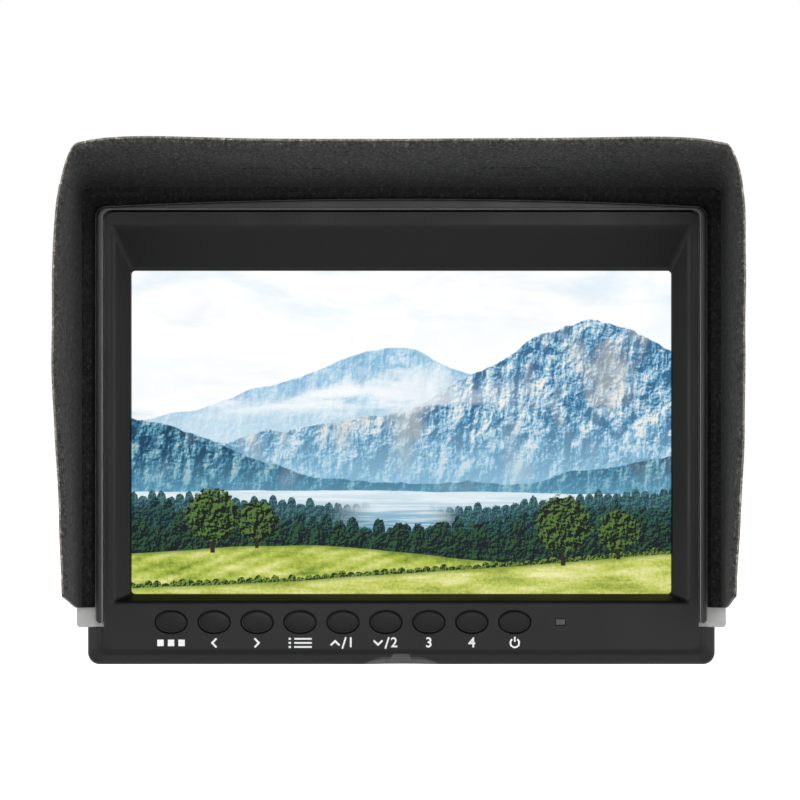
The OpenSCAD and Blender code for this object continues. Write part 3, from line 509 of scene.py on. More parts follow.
def lit_picture():
    """The picture on the screen: a made-up lake between wooded hills, with fields and trees in front."""
    f = Finish("Screen picture")
    x, y, z = f.split(f.place)
    width, height, low = 0.1592, 0.0953, 0.0208
    u = f.scaled(x, 1 / width, 0.5)
    v = f.scaled(z, 1 / height, -low / height)
    wide = f.times(u, width / height)
    flat = f.join(wide, v, 0.0)

    def outline(profile, rise, rough, scale, seed):
        """Height of a skyline over u: a smooth curve through the profile, made ragged by rise."""
        base = f.split(f.ramp(u, *profile.items(), curve="B_SPLINE"))[0]
        jag = f.noise(f.join(wide, seed, 0.0), scale, detail=8.0, roughness=rough)
        return f.plus(base, f.scaled(jag, rise, -0.5 * rise))

    def below(line, sharp=420.0):
        return f.times(f.minus(line, v), sharp, clamp=True)

    def clumps(squeeze, shift, scale, detail, rough, warp=0.0, turn=0.0):
        """Noise over the picture, squeezed along u and v."""
        squeezed = f.stretch(flat, squeeze + (1.0,), (0, 0, turn), shift + (0,))
        return f.noise(squeezed, scale, detail, rough, warp)

    def relief(scale, seed, squeeze, push, detail=6, rough=0.6, warp=0.3):
        """Light and shade on rough ground that is lit from the upper left."""
        here, aside = (clumps((1.0, squeeze), shift, scale, detail, rough, warp)
                       for shift in ((seed, seed), (seed + push, seed - push)))
        return f.scaled(f.minus(here, aside), 0.055 / push, 0.5)

    # sky: white cloud banks with pale blue between them
    puffs = clumps((0.8, 1.7), (3.1, 1.7), 2.6, 7, 0.55, 0.5)
    sky = f.mix(f.fade(v, 0.62, 1.0), "#ffffff", "#e4f1f8")
    sky = f.mix(f.fade(puffs, 0.40, 0.56), sky, "#ffffff")
    grey = clumps((0.6, 2.4), (7.3, 4.2), 3.4, 6, 0.6, 0.3)
    colour = f.mix(f.times(f.fade(grey, 0.50, 0.74), f.fade(v, 0.56, 0.72, 0.75, 0.25)), sky, "#c2d4e2")

    # three ranges of rounded hills, each nearer one darker and more broken up by gullies, woods and clearings
    def hills(line, tint, scale, seed, haze, haze_tint, previous, warm=0.0, contrast=1.0):
        lean = f.stretch(flat, (1.5, 0.55, 1.0), turn=(0, 0, 0.45), shift=(seed, 0, 0))
        ridge = f.noise(lean, scale, detail=7, roughness=0.56, warp=0.25)
        beside = f.stretch(lean, (1, 1, 1), shift=(0.016, -0.010, 0))
        beside = f.noise(beside, scale, detail=7, roughness=0.56, warp=0.25)
        fine = relief(scale * 5, seed + 4, 0.8, 0.004, detail=4, rough=0.7)
        woods = clumps((1.0, 1.8), (seed, 7), scale * 1.6, 6, 0.65)
        shade = f.scaled(f.minus(ridge, beside), 3.6 * contrast, 0.30)
        shade = f.plus(shade, f.times(fine, 0.15 * contrast))
        shade = f.plus(shade, f.times(woods, 0.22))
        ground = f.ramp(shade, (0.26, tint[0]), (0.46, tint[1]), (0.62, tint[2]), (0.84, tint[3]))
        if warm:
            scree = clumps((1.0, 0.45), (seed, 2), 5.0, 6, 0.6)
            ground = f.mix(f.times(f.fade(scree, 0.50, 0.64), warm), ground, "#d9d2c4")
        top, foot = haze
        ground = f.mix(f.fade(v, top, foot, 0.0, 0.75), ground, haze_tint)
        return f.mix(below(line, 300.0), previous, ground)

    far = outline({0.0: 0.52, 0.18: 0.60, 0.36: 0.72, 0.50: 0.78, 0.66: 0.66, 0.84: 0.60, 1.0: 0.66},
                  0.12, 0.5, 3.2, 2.2)
    colour = hills(far, ("#7db0d2", "#9fc9e2", "#c4e0ee", "#e9f3f6"), 6.0, 1.3, (0.72, 0.42), "#d5e8f2",
                   colour, contrast=0.6)
    middle = outline({0.0: 0.46, 0.16: 0.44, 0.34: 0.54, 0.52: 0.56, 0.70: 0.74, 0.82: 0.88, 0.92: 0.82,
                      1.0: 0.74}, 0.16, 0.55, 4.0, 5.7)
    colour = hills(middle, ("#2b6288", "#5f9dc2", "#a5c9dc", "#f2eee6"), 7.0, 4.9, (0.60, 0.30), "#9bcbe4",
                   colour, warm=0.45)
    drift = clumps((0.8, 2.8), (1.2, 8.1), 3.2, 7, 0.58, 0.4)
    band = f.times(f.fade(v, 0.50, 0.60), f.fade(v, 0.78, 0.64))
    misty = f.times(f.fade(drift, 0.44, 0.60), f.times(band, f.fade(u, 0.80, 0.40)))
    colour = f.mix(misty, colour, "#f6fafc")
    near = outline({0.0: 0.56, 0.10: 0.52, 0.22: 0.42, 0.36: 0.35, 0.60: 0.33, 0.80: 0.36, 1.0: 0.44},
                   0.07, 0.55, 5.0, 7.9)
    colour = hills(near, ("#0f3f59", "#2c6c8c", "#629ab1", "#a9c8c4"), 10.0, 8.4, (0.46, 0.26), "#6aa9c6",
                   colour, warm=0.2, contrast=0.8)

    # the lake
    shore = outline({0.0: 0.315, 0.5: 0.325, 1.0: 0.30}, 0.012, 0.5, 6.0, 4.4)
    ripples = clumps((0.5, 9.0), (2.0, 5.0), 9.0, 5, 0.6)
    water = f.mix(f.fade(v, 0.20, 0.32), "#5f9dbc", "#d3e6ee")
    water = f.mix(f.times(f.fade(ripples, 0.42, 0.60), 0.6), water, "#f2f8fa")
    colour = f.mix(below(shore, 600.0), colour, water)

    # rows of broad trees with rounded crowns, the nearest the darkest
    def grove(line, count, tall, seed, dark, mid, light, previous, mist=0.0, opened=None):
        places = f.scaled(u, count, seed)
        cell = f.math("FLOOR", places)
        across = f.times(f.minus(f.math("FRACT", places), 0.5), 2.0)
        crown = f.math("SQRT", f.minus(1.0, f.times(across, across), clamp=True))
        grown = f.scaled(f.random(cell), 0.8 * tall, 0.35 * tall)
        ragged = f.noise(flat, 1.7 * count, detail=5, roughness=0.75)
        top = f.scaled(crown, grown, line)
        top = f.plus(top, f.scaled(ragged, 0.9 * tall, -0.45 * tall))
        leaf = relief(1.1 * count, seed, 0.9, 0.0035, detail=4, rough=0.75, warp=0.2)
        lit = f.plus(f.times(leaf, 0.75), f.scaled(across, -0.10, 0.12))
        lit = f.plus(lit, f.fade(f.minus(top, v), 0.0, 0.9 * tall, 0.10, -0.12))
        paint = f.ramp(lit, (0.30, dark), (0.54, mid), (0.82, light))
        if mist:
            paint = f.mix(mist, paint, "#6f9cb0")
        shape = below(top, 700.0)
        if opened is not None:
            shape = f.times(shape, opened)
        return f.mix(shape, previous, paint)

    left_bank = f.fade(u, 0.46, 0.36)
    right_bank = f.fade(u, 0.54, 0.62)
    back_row = outline({0.0: 0.30, 0.3: 0.27, 0.6: 0.24, 0.8: 0.28, 1.0: 0.31}, 0.03, 0.5, 4.0, 8.8)
    colour = grove(back_row, 58, 0.030, 0.3, "#08283a", "#154556", "#3d7166", colour, mist=0.10,
                   opened=f.math("MAXIMUM", left_bank, right_bank))
    second = outline({0.0: 0.25, 0.22: 0.24, 0.40: 0.19, 0.56: 0.18, 0.75: 0.23, 1.0: 0.26},
                     0.03, 0.5, 4.0, 6.1)
    colour = grove(second, 41, 0.045, 0.7, "#041c28", "#0d3540", "#2c5a48", colour)
    third = outline({0.0: 0.19, 0.25: 0.17, 0.45: 0.155, 0.7: 0.16, 1.0: 0.20}, 0.025, 0.5, 4.0, 1.1)
    colour = grove(third, 27, 0.060, 0.1, "#031219", "#0a2a2c", "#2c5232", colour)

    # fields, ploughed and mown in strips, with a hedge between them
    def field(line, dark, light, bright, scale, seed, previous, strips=0.0):
        furrow = clumps((0.55, 2.6), (seed, 0), scale, 7, 0.62, turn=seed)
        tuft = f.noise(flat, scale * 10, detail=5, roughness=0.75)
        mixed = f.scaled(furrow, 0.65, f.times(tuft, 0.35))
        if strips:
            run = f.scaled(v, -strips * 2.6, f.times(wide, strips))
            stripe = f.math("SINE", f.plus(run, f.times(furrow, 3.0)))
            mixed = f.scaled(stripe, 0.035, mixed)
        grass = f.ramp(mixed, (0.34, dark), (0.49, light), (0.64, bright))
        rim = f.minus(line, v)
        grass = f.mix(f.fade(rim, 0.016, 0.0, 0.0, 0.7), grass, dark)
        return f.mix(below(line), previous, grass)

    rolling = outline({0.0: 0.12, 0.22: 0.155, 0.42: 0.15, 0.62: 0.105, 0.8: 0.085, 1.0: 0.10},
                      0.014, 0.4, 4.0, 9.4)
    colour = field(rolling, "#5d7a22", "#b2c14e", "#e6e598", 7.0, 0.12, colour, strips=60.0)
    hedge = outline({0.0: 0.02, 0.3: 0.045, 0.55: 0.075, 0.8: 0.10, 1.0: 0.135}, 0.006, 0.4, 5.0, 2.6)
    colour = grove(hedge, 64, 0.016, 0.5, "#16290d", "#345221", "#6f8a3c", colour)
    swell = outline({0.0: 0.015, 0.3: 0.04, 0.55: 0.07, 0.8: 0.095, 1.0: 0.13}, 0.006, 0.4, 5.0, 2.6)
    colour = field(swell, "#6f8a2a", "#c2cb60", "#f0eeac", 9.0, 0.3, colour)

    # broad trees that stand alone: a ragged crown of leaf clumps on a short trunk
    def broad_tree(foot_u, foot_v, tall, spread, previous):
        up = f.math("DIVIDE", f.minus(v, foot_v), tall)
        aside = f.math("DIVIDE", f.minus(u, foot_u), spread)
        ragged = f.noise(flat, 46, detail=6, roughness=0.75)
        rise = f.times(f.minus(up, 0.60), 2.3)
        far_out = f.math("SQRT", f.plus(f.times(rise, rise), f.times(aside, aside)))
        crown = f.plus(far_out, f.scaled(ragged, 1.1, -0.55))
        shape = f.fade(crown, 0.98, 0.90)
        trunk = f.fade(f.math("ABSOLUTE", aside), 0.10, 0.06)
        trunk = f.times(trunk, f.times(f.fade(up, 0.0, 0.02), f.fade(up, 0.40, 0.35)))
        leaf = relief(38, foot_u, 0.9, 0.005, detail=4, rough=0.75, warp=0.2)
        lit = f.plus(f.times(leaf, 0.8), f.scaled(aside, -0.13, f.scaled(rise, 0.10, 0.08)))
        paint = f.ramp(lit, (0.30, "#04100b"), (0.54, "#15321a"), (0.82, "#557634"))
        colour = f.mix(trunk, previous, "#2b2318")
        return f.mix(shape, colour, paint)

    for foot_u, foot_v, tall, spread in ((0.150, 0.125, 0.200, 0.052), (0.232, 0.140, 0.145, 0.040),
                                         (0.800, 0.085, 0.215, 0.055), (0.902, 0.105, 0.150, 0.042)):
        colour = broad_tree(foot_u, foot_v, tall, spread, colour)

    # black border with slightly rounded corners
    corner = 0.0011
    away_x = f.math("MAXIMUM", f.minus(f.math("ABSOLUTE", x), width / 2 - corner), 0.0)
    centre = low + height / 2
    away_z = f.math("MAXIMUM", f.minus(f.math("ABSOLUTE", f.minus(z, centre)), height / 2 - corner), 0.0)
    away = f.math("SQRT", f.plus(f.times(away_x, away_x), f.times(away_z, away_z)))
    inside = f.fade(away, corner + 0.00008, corner - 0.00008)
    inside = f.times(inside, f.math("LESS_THAN", y, -0.0090))
    glow = f.mix(inside, (0.0, 0.0, 0.0, 1), colour)
    return f.surface((0.004, 0.004, 0.005, 1), 0.2, emission_color=glow, emission_strength=1.0,
                     specular_ior_level=0.06)


case_plastic = moulded_plastic("Satin black case plastic", "#0c0c0d", "#111112", gloss=0.36, specular=0.2)
rear_plastic = moulded_plastic("Fine textured housing plastic", "#131314", "#19191a", gloss=0.52, grain=2400,
                               depth=0.00003, specular=0.3)
# edge paints a highlight on the rail's rounded edges
rail_plastic = moulded_plastic("Black hood rail plastic", "#0f0f10", "#151516", gloss=0.32, specular=0.3,
                               edge="#8c8c8d")
# edge paints a highlight on the rounded rims of the keys
key_plastic = moulded_plastic("Smooth black key plastic", "#08080a", "#0d0d0e", gloss=0.34, grain=4200,
                              depth=0.000006, specular=0.15, edge="#4c4c4d")
battery_plastic = moulded_plastic("Matte black battery plate plastic", "#151516", "#1d1d1e", gloss=0.55,
                                  grain=2000, depth=0.00003)
plate_grey = moulded_plastic("Light grey carrier plate", "#9f9f9f", "#afafae", gloss=0.45, grain=2600)
chip_resin = moulded_plastic("Chip resin", "#101011", "#1a1a1b", gloss=0.6, grain=3000, depth=0.00002)
socket_plastic = moulded_plastic("Black socket plastic", "#0d0d0e", "#151516", gloss=0.4)
smoked_light = moulded_plastic("Smoked status light", "#160e0e", "#231514", gloss=0.2, grain=1500)
steel = metal("Stamped steel", "#9a9b9d", "#c2c3c5", gloss=0.35, brush=(1, 1, 14))
socket_metal = metal("Tinned socket shell", "#a9aaab", "#d0d0cf", gloss=0.28, brush=(12, 1, 1))
brass = metal("Nickel-plated brass", "#a89c84", "#cfc5ad", gloss=0.27, brush=(1, 1, 12))
gold = metal("Gold-plated contacts", "#c9a557", "#e6c987", gloss=0.22)
black_screw = metal("Blackened screws", "#26262a", "#3d3d42", gloss=0.38)
spring_steel = metal("Spring steel", "#7d7e80", "#b9babc", gloss=0.25)
board_green = circuit_board()
film = moulded_plastic("Amber ribbon film", "#8a5a1c", "#a8742c", gloss=0.3, grain=900)
white_sheet = moulded_plastic("White diffuser", "#d8d8d4", "#e6e6e2", gloss=0.5)
foam = felt("Black foam", "#0b0b0b", "#151515", "#1e1e1e", specks=0.4)
cone_paper = felt("Speaker paper", "#141415", "#202021", "#2b2b2b", specks=0.5)
# deep=0.32 paints shade into the felt: it darkens towards the fold at the back of the hood
hood_felt = felt("Hood felt", "#2c2c2c", "#4b4b4a", "#797775", specks=0.7, deep=0.32)
edge_fibre = felt("Cut edge of the felt", "#4a4743", "#8f8981", "#e2dccf", pile=0.6)
side_cloth = woven("Black woven side cloth", "#0d0d0e", "#1d1d1f", "yz")
top_cloth = woven("Black woven top cloth", "#0d0d0e", "#1d1d1f", "xy")
board_card = felt("Grey stiffening board", "#3a3a3b", "#4a4a4b", "#5a5a5b", specks=0.3, pile=0.3)
hook_tape = hooks("Hook and loop tape", "#0b0b0c", "#29292b")
print_white = moulded_plastic("White printed marks", "#f6f6f5", "#ffffff", gloss=0.5, grain=2500,
                              depth=0.000004)

node_finish = {
    "lcd_gasket": foam, "lcd_glass": lit_picture(), "backlight_unit": white_sheet, "lcd_tray": steel,
    "lcd_tray_screws": steel, "main_board": board_green, "board_chips": chip_resin, "board_screws": steel,
    "key_board": board_green, "tact_switches": steel, "status_light_pipe": smoked_light, "lcd_ribbon": film,
    "key_ribbon": film, "hdmi_socket": socket_metal, "audio_socket": socket_plastic,
    "earphone_socket": socket_plastic, "power_socket": socket_plastic, "speaker": cone_paper,
    "tripod_nut": brass, "tripod_bracket": steel,
    "bracket_screws": steel, "housing_screws": black_screw, "battery_contacts": gold,
    "battery_plate_screws": black_screw, "release_spring": spring_steel,
}
for node, finish in node_finish.items():
    nodes[node].data.materials.clear()
    nodes[node].data.materials.append(finish)


# ---------------------------------------------------------------- moulded parts with rounded edges

KEYS = ["mode_key", "left_key", "right_key", "menu_key", "function_key_1", "function_key_2", "function_key_3",
        "function_key_4", "power_key"]
KEY_HOLE = (4.75, 3.35)  # half the width and half the height in mm
KEY_LIP = 0.5            # how far the mouth of a key hole flares


def middle_of(node):
    return sum(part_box(node), Vector()) / 2


def model_bezel():
    """The front moulding: rolled outer edges, a sloping surround with soft lips, key holes, grooves for the
    hood and a finger scoop."""
    full = (-10.8, -92.5, 92.5, 0.0, 134.5)
    face = (-15.0, -88.9, 88.9, 3.6, 133.5)
    back = (-6.6,) + full[1:]
    rings = [back] + eased_corner(between(full, back, 0.22), full, between(full, face, 0.22))
    rings += eased_corner(between(face, full, 0.24), face, (-15.0, -87.6, 87.6, 4.9, 133.2), 7)
    bezel = tapered_block("bezel_moulding", rings, 3.5, 8)
    carve(bezel, box_tool((-81.9, 81.9), (-10.2, -5.6), (18.5, 119.1)))
    carve(bezel, box_tool((-90.3, 90.3), (-8.6, -5.6), (2.2, 132.3)))
    carve(bezel, box_tool((-86.7, 86.7), (-12.5, -5.6), (3.6, 17.3)))
    posts = [(x, z, 2.9, -9.6, -3.0) for x in (-85, 85) for z in (5.8, 128.7)]
    carve(bezel, together([peg_tool(*post) for post in posts]), "UNION")

    edge, window = (-15.0, -85.1, 85.1, 18.6, 128.8), (-11.0, -79.7, 79.7, 20.7, 116.9)
    lip = (-15.02, -86.2, 86.2, 17.5, 129.9)
    deep = (-10.4,) + window[1:]
    rings = [(-16,) + lip[1:]] + eased_corner(lip, edge, between(edge, window, 0.24), 6)
    rings += eased_corner(between(window, edge, 0.06), window, deep, 4) + [(-5.0,) + window[1:]]
    carve(bezel, tapered_block("cutter", rings, 1.3))
    lip_cut = box_tool((-94, 94), (-16, -13.2), (10.95, 136))
    carve(lip_cut, tapered_block("cutter", [(y, -87.4, 87.4, -40, 133.6) for y in (-17, -12)], 2.0))
    carve(bezel, lip_cut)
    for side in (-1, 1):
        carve(bezel, box_tool(sorted((side * 85.4, side * 94)), (-13.2, -10.6), (10.95, 136)))
    carve(bezel, box_tool((-94, 94), (-16, -10.6), (133.6, 136)))

    holes = []
    flare = tuple(size + KEY_LIP for size in KEY_HOLE)
    for key in KEYS:
        x, z = middle_of(key).x / MM, middle_of(key).z / MM
        mouth = eased_corner((-15.02,) + flare, (-15.0,) + KEY_HOLE, (-14.6,) + KEY_HOLE, 5)
        holes.append(oval_tool(x, z, [(-16,) + flare] + mouth + [(-11.5,) + KEY_HOLE]))
    x = middle_of("status_light_pipe").x / MM
    z = middle_of("mode_key").z / MM
    light_slot = [(y, x - 1.4 - more, x + 1.4 + more, z - 0.9 - more, z + 0.9 + more)
                  for y, more in ((-16, 0.15), (-15.01, 0.15), (-14.85, 0), (-11.5, 0))]
    holes.append(tapered_block("cutter", light_slot, 0.3, 4))
    carve(bezel, together(holes))

    bpy.ops.mesh.primitive_cone_add(vertices=180, radius1=25.711 * MM, radius2=16.0 * MM, depth=4.6 * MM,
                                    location=(0, -31.0 * MM, 1.3 * MM))
    scoop = name_new("cutter")
    settle(scoop)
    carve(bezel, scoop)
    even_shading(bezel, 32)
    return bezel


def oval_tool(x, z, rings):
    """A cutter for a key hole, with a flared mouth. A ring is y, half the width and half the height in mm."""
    y, wide, tall = rings[0]
    bpy.ops.mesh.primitive_circle_add(vertices=64, radius=1, fill_type="NGON",
                                      location=(x * MM, y * MM, z * MM), rotation=UPRIGHT)
    tool = name_new("cutter")
    tool.scale = (wide * MM, tall * MM, 1)
    settle(tool)
    edit(tool)
    choose_all()
    for before, after in zip(rings, rings[1:]):
        draw_out(0, (after[0] - before[0]) * MM, 0)
        widen(after[1] / before[1], after[2] / before[2], (x * MM, 0, z * MM))
    face_outwards()
    return tool


dress(model_bezel(), "case", case_plastic, ("front_bezel",))


def model_rail():
    """The rail round the bezel: two legs with rounded feet and an arched bar between them."""
    foot, side, inner, inner_top, outer_top, arch = 12.4, 90.0, 87.7, 133.9, 135.0, 2.2
    foot_round, foot_inner, bend, bend_inner = 1.1, 0.6, 3.3, 2.2
    # stations along the rail, each a point x, z on its outer edge and one on its inner edge
    stations = []
    for k in range(7):
        turn = math.pi / 2 * k / 6
        stations.append(((side - foot_round + foot_round * math.sin(turn),
                          foot + foot_round - foot_round * math.cos(turn)),
                         (inner + foot_inner - foot_inner * math.sin(turn),
                          foot + foot_inner - foot_inner * math.cos(turn))))
    for k in range(1, 20):
        z = foot + foot_round + (inner_top - 3.0 - foot - foot_round) * k / 19
        stations.append(((side, z), (inner, z)))
    for k in range(1, 13):
        turn = math.pi / 2 * k / 12
        stations.append(((side - bend + bend * math.cos(turn), outer_top - bend + bend * math.sin(turn)),
                         (inner - bend_inner + bend_inner * math.cos(turn),
                          inner_top - bend_inner + bend_inner * math.sin(turn))))
    for k in range(1, 25):
        x = (side - bend) * (1 - k / 24)
        stations.append(((x, outer_top + arch * (1 - (x / (side - bend)) ** 2)),
                         ((inner - bend_inner) * (1 - k / 24), inner_top)))
    stations += [((-o[0], o[1]), (-i[0], i[1])) for o, i in stations[-2::-1]]
    points, faces = [], []
    # the section: inset from the edge, y, and 1 where it is measured from the outer edge
    section = [(0.0, -12.9, 0), (0.0, -15.1, 0), (0.09, -15.45, 0), (0.32, -15.70, 0), (0.66, -15.8, 0),
               (0.7, -15.8, 1), (0.32, -15.70, 1), (0.09, -15.46, 1), (0.0, -15.1, 1), (0.0, -12.9, 1)]
    for outer, inner_point in stations:
        o, i = Vector(outer), Vector(inner_point)
        across = (o - i).normalized()
        room = (o - i).length
        for inset, y, from_outer in section:
            inset = min(inset, 0.45 * room)
            spot = o - across * inset if from_outer else i + across * inset
            points.append((spot.x * MM, y * MM, spot.y * MM))
    ring = len(section)
    for k in range(len(stations) - 1):
        for j in range(ring):
            a, b = k * ring + j, k * ring + (j + 1) % ring
            faces.append((a, b, b + ring, a + ring))
    faces += [tuple(range(ring)), tuple(range(len(points) - 1, len(points) - ring - 1, -1))]
    rail = piece_from("hood_rail", points, faces)
    edit(rail)
    face_outwards()
    even_shading(rail)
    return rail


dress(model_rail(), "hood", rail_plastic, ("hood_frame",))


BACK_FACE_Y = 15.0      # of the rear housing, in mm
LONG_EDGE = 6           # edges up to this length belong to screw holes and vents


def long_edge(a, b):
    return 1.0 if (a - b).length > LONG_EDGE else 0.0


def outer_edge(a, b):
    """Picks the long outer edges and leaves the small holes and the rim of the back face crisp."""
    return long_edge(a, b) if min(a.y, b.y) < BACK_FACE_Y - 0.1 else 0.0


for node, name, width, share, body, finish, slot in (
        ("rear_housing", "housing_moulding", 0.5, outer_edge,
         "case", rear_plastic, "case_plastic"),
        ("battery_plate", "battery_plate_moulding", 0.25, long_edge,
         "case", battery_plastic, "battery_plastic"),
        ("release_slider", "release_slider_moulding", 0.2, every_edge,
         "release", battery_plastic, "battery_plastic"),
        ("hood_carrier_plate", "carrier_plate_strip", 0.3, every_edge,
         "hood", plate_grey, "plate_metal")):
    dress(rounded_copy(node, name, width, share), body, finish, (node,))


def model_spring():
    """The release spring: a copy with a mesh of its own, finished in spring steel."""
    coil = new_piece("release_coil", nodes["release_spring"].data.copy())
    dress(coil, "case", spring_steel, ("release_spring",))
    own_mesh(coil)


model_spring()


# ---------------------------------------------------------------- keys

def model_key():
    """One key cap: an oval button with a rounded rim and a slight dome, its flange and its stem."""
    low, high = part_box("mode_key")
    middle = (low + high) / 2
    centre = (middle.x, 0, middle.z)
    half_w, half_h, tall, crown_height = 4.35 * MM, 2.95 * MM, 2.6, 0.255
    bpy.ops.mesh.primitive_cylinder_add(vertices=72, radius=1, depth=1, end_fill_type="NGON",
                                        location=(0, 0, 0), rotation=UPRIGHT)
    key = name_new("key_cap")
    key.scale = (half_w, half_h, tall * MM)
    key.location = (middle.x, low.y + (tall / 2 + crown_height) * MM, middle.z)
    settle(key)
    edit(key)
    choose_faces(key, lambda normal: normal.y < -0.9)
    # the crown: height over the cap's side, and share of the full width
    crown = [(0.0, 1.0), (0.07, 0.992), (0.13, 0.972), (0.165, 0.94), (0.185, 0.90), (0.21, 0.78),
             (0.235, 0.60), (0.25, 0.38), (crown_height, 0.14)]
    for (rise, share), (next_rise, next_share) in zip(crown, crown[1:]):
        draw_out(0, (rise - next_rise) * MM, 0)
        widen(next_share / share, next_share / share, centre)
    # the flange and the stem behind the cap
    choose_faces(key, lambda normal: normal.y > 0.9)
    draw_out(0, 0, 0)
    widen(1.2, 1.3, centre)
    draw_out(0, 0.8 * MM, 0)
    draw_out(0, 0, 0)
    widen(0.28, 0.40, centre)
    draw_out(0, high.y - low.y - 3.9 * MM, 0)
    choose_all()
    bpy.ops.mesh.remove_doubles(threshold=1e-7)
    face_outwards()
    smooth_by_angle(key, 50)
    return key


first_key = model_key()
first_middle = middle_of("mode_key")
for index, node in enumerate(KEYS):
    key = first_key
    if index:
        key = first_key.copy()
        key.data = first_key.data.copy()
        bpy.context.scene.collection.objects.link(key)
        key.location.x = middle_of(node).x - first_middle.x
        settle(key)
    key.name = node + "_button"
    key.data.name = key.name
    dress(key, node + "_cap", key_plastic, (node,))


# ---------------------------------------------------------------- printed marks below the keys

FACE_Y = -0.01503  # just in front of the bezel's face, in metres
MARK_Z = 0.00660   # middle of the row of marks


def flat_mark(name, outlines):
    """Printed marks: each outline is a list of x, z points in millimetres round the mark's place."""
    points, faces = [], []
    for outline in outlines:
        faces.append(list(range(len(points), len(points) + len(outline))))
        points += [(x * MM, FACE_Y, MARK_Z + z * MM) for x, z in outline]
    return piece_from(name, points, faces)


def stroke(x0, z0, x1, z1, thick=0.5):
    """A straight pen stroke from one point to the other, its faces towards the front."""
    along = Vector((x1 - x0, z1 - z0)).normalized() * thick / 2
    side = Vector((-along.y, along.x))
    a, b = Vector((x0, z0)) - along * 0.4, Vector((x1, z1)) + along * 0.4
    return [tuple(a - side), tuple(b - side), tuple(b + side), tuple(a + side)]


def arc(radius, thick, start, stop, steps=20):
    """Part of a ring, as quads, between two angles in degrees."""
    near, far = radius - thick / 2, radius + thick / 2
    quads = []
    for k in range(steps):
        a, b = (math.radians(start + (stop - start) * (k + d) / steps) for d in (0, 1))
        corners = ((a, near), (a, far), (b, far), (b, near))
        quads.append([(math.cos(turn) * r, math.sin(turn) * r) for turn, r in corners])
    return quads


def moved(outlines, dx):
    return [[(x + dx, z) for x, z in outline] for outline in outlines]


def number(text, dx):
    """A plain number as a flat mesh, dx metres from the middle of the case."""
    bpy.ops.object.text_add(location=(0, 0, 0), rotation=UPRIGHT)
    piece = bpy.context.active_object
    piece.data.body = text
    piece.data.size = 0.0041
    piece.data.offset = 0.00007
    piece.data.align_x = "CENTER"
    piece.data.align_y = "CENTER"
    piece.data.resolution_u = 6
    pick(piece)
    bpy.ops.object.convert(target="MESH")
    piece = bpy.context.active_object
    piece.location = (dx, FACE_Y, MARK_Z)
    settle(piece)
    return piece


def key_x(node):
    return middle_of(node).x


def arrow(turns):
    """An open arrow head that points left, turned by quarter turns."""
    outline = [(0.50, 1.50), (-0.95, 0.0), (0.50, -1.50), (0.92, -1.12), (-0.12, 0.0), (0.92, 1.12)]
    for _ in range(turns):
        outline = [(-z, x) for x, z in outline]
    return [outline]


def blocks(places, half_w, half_h):
    """Filled oblongs with their middles at the places."""
    corners = ((-half_w, -half_h), (half_w, -half_h), (half_w, half_h), (-half_w, half_h))
    return [[(x + dx, z + dz) for dx, dz in corners] for x, z in places]


slash = [stroke(-0.5, -1.6, 0.5, 1.6, 0.5)]
squares = blocks([(-3.1, 0), (0, 0), (3.1, 0)], 0.95, 0.95)
rows = (-1.2, 0, 1.2)
bars = blocks([(0.9, z) for z in rows], 2.6, 0.26) + blocks([(-3.0, z) for z in rows], 0.34, 0.3)
power = arc(1.3, 0.5, 125, 415) + [stroke(0, 0.4, 0, 1.7, 0.5)]

marks = []
for node, outlines in (("mode_key", squares), ("left_key", arrow(0)), ("right_key", arrow(2)),
                       ("menu_key", bars), ("function_key_1", moved(arrow(3), -2.3) + moved(slash, 0.35)),
                       ("function_key_2", moved(arrow(1), -2.3) + moved(slash, 0.35)), ("power_key", power)):
    marks.append(flat_mark(node + "_mark", moved(outlines, key_x(node) / MM)))
for node, text, dx in (("function_key_1", "1", 2.3), ("function_key_2", "2", 2.4), ("function_key_3", "3", 0),
                       ("function_key_4", "4", 0)):
    digit = number(text, key_x(node) + dx * MM)
    digit.name = node + "_number"
    marks.append(digit)
for mark in marks:
    edit(mark)
    mesh = bmesh.from_edit_mesh(mark.data)
    for face in mesh.faces:
        face.normal_update()
        if face.normal.y > 0:
            face.normal_flip()
    bmesh.update_edit_mesh(mark.data)
    leave_edit()
    dress(mark, "case", print_white)


# ---------------------------------------------------------------- hood fabric

# measures in mm
HINGE_Y = -16.2             # fold of the side flaps
DEPTH = 83.8                # from there to their front edge
SIDE_X = 95.8               # their outer face, where they don't bow
SIDE_LOW, LOW_RISE = 17, 7  # their lower edge at the fold, and how much it rises towards the front
SIDE_TOP = 137.3            # their upper edge
WING_LOW = 137.35           # lower edge of the soft corners
BOW_TOP = 137.5             # last place in the table of the bow
TOP_HINGE = (-19.7, 140.4)  # fold of the top flap, y and z
TOP_HALF = 89.2             # half its width
TOP_RUN = 80.3              # its depth along the slope
TOP_SLOPE = math.radians(5.7)
THICK = 2.0                 # cloth, board and felt together
FOLD_GAP = 0.2              # between a fold's axis and the cloth
EDGE_THICK = 0.28           # share of the thickness that is left at a pressed front edge


def eased(t):
    """How far a bow has grown at depth t, from 0 at the fold to 1 at the front edge."""
    return t * t * (3 - 2 * t) * 0.35 + t * 0.65


def blend_list(value, table):
    """Smooth value read from a table of (place, number) pairs, by a curve without kinks at the pairs."""
    last = len(table) - 1
    k = 0
    while k < last - 1 and value > table[k + 1][0]:
        k += 1
    (x0, y0), (x1, y1) = table[k], table[k + 1]
    slopes = []
    for j in (k, k + 1):
        (xa, ya), (xb, yb) = table[max(j - 1, 0)], table[min(j + 1, last)]
        slopes.append((yb - ya) / (xb - xa))
    w = x1 - x0
    t = min(1.0, max(0.0, (value - x0) / w))
    curve = ((2 * t ** 3 - 3 * t * t + 1) * y0 + (t ** 3 - 2 * t * t + t) * w * slopes[0]
             + (3 * t * t - 2 * t ** 3) * y1 + (t ** 3 - t * t) * w * slopes[1])
    return curve + slopes[1] * max(0.0, value - x1) + slopes[0] * min(0.0, value - x0)


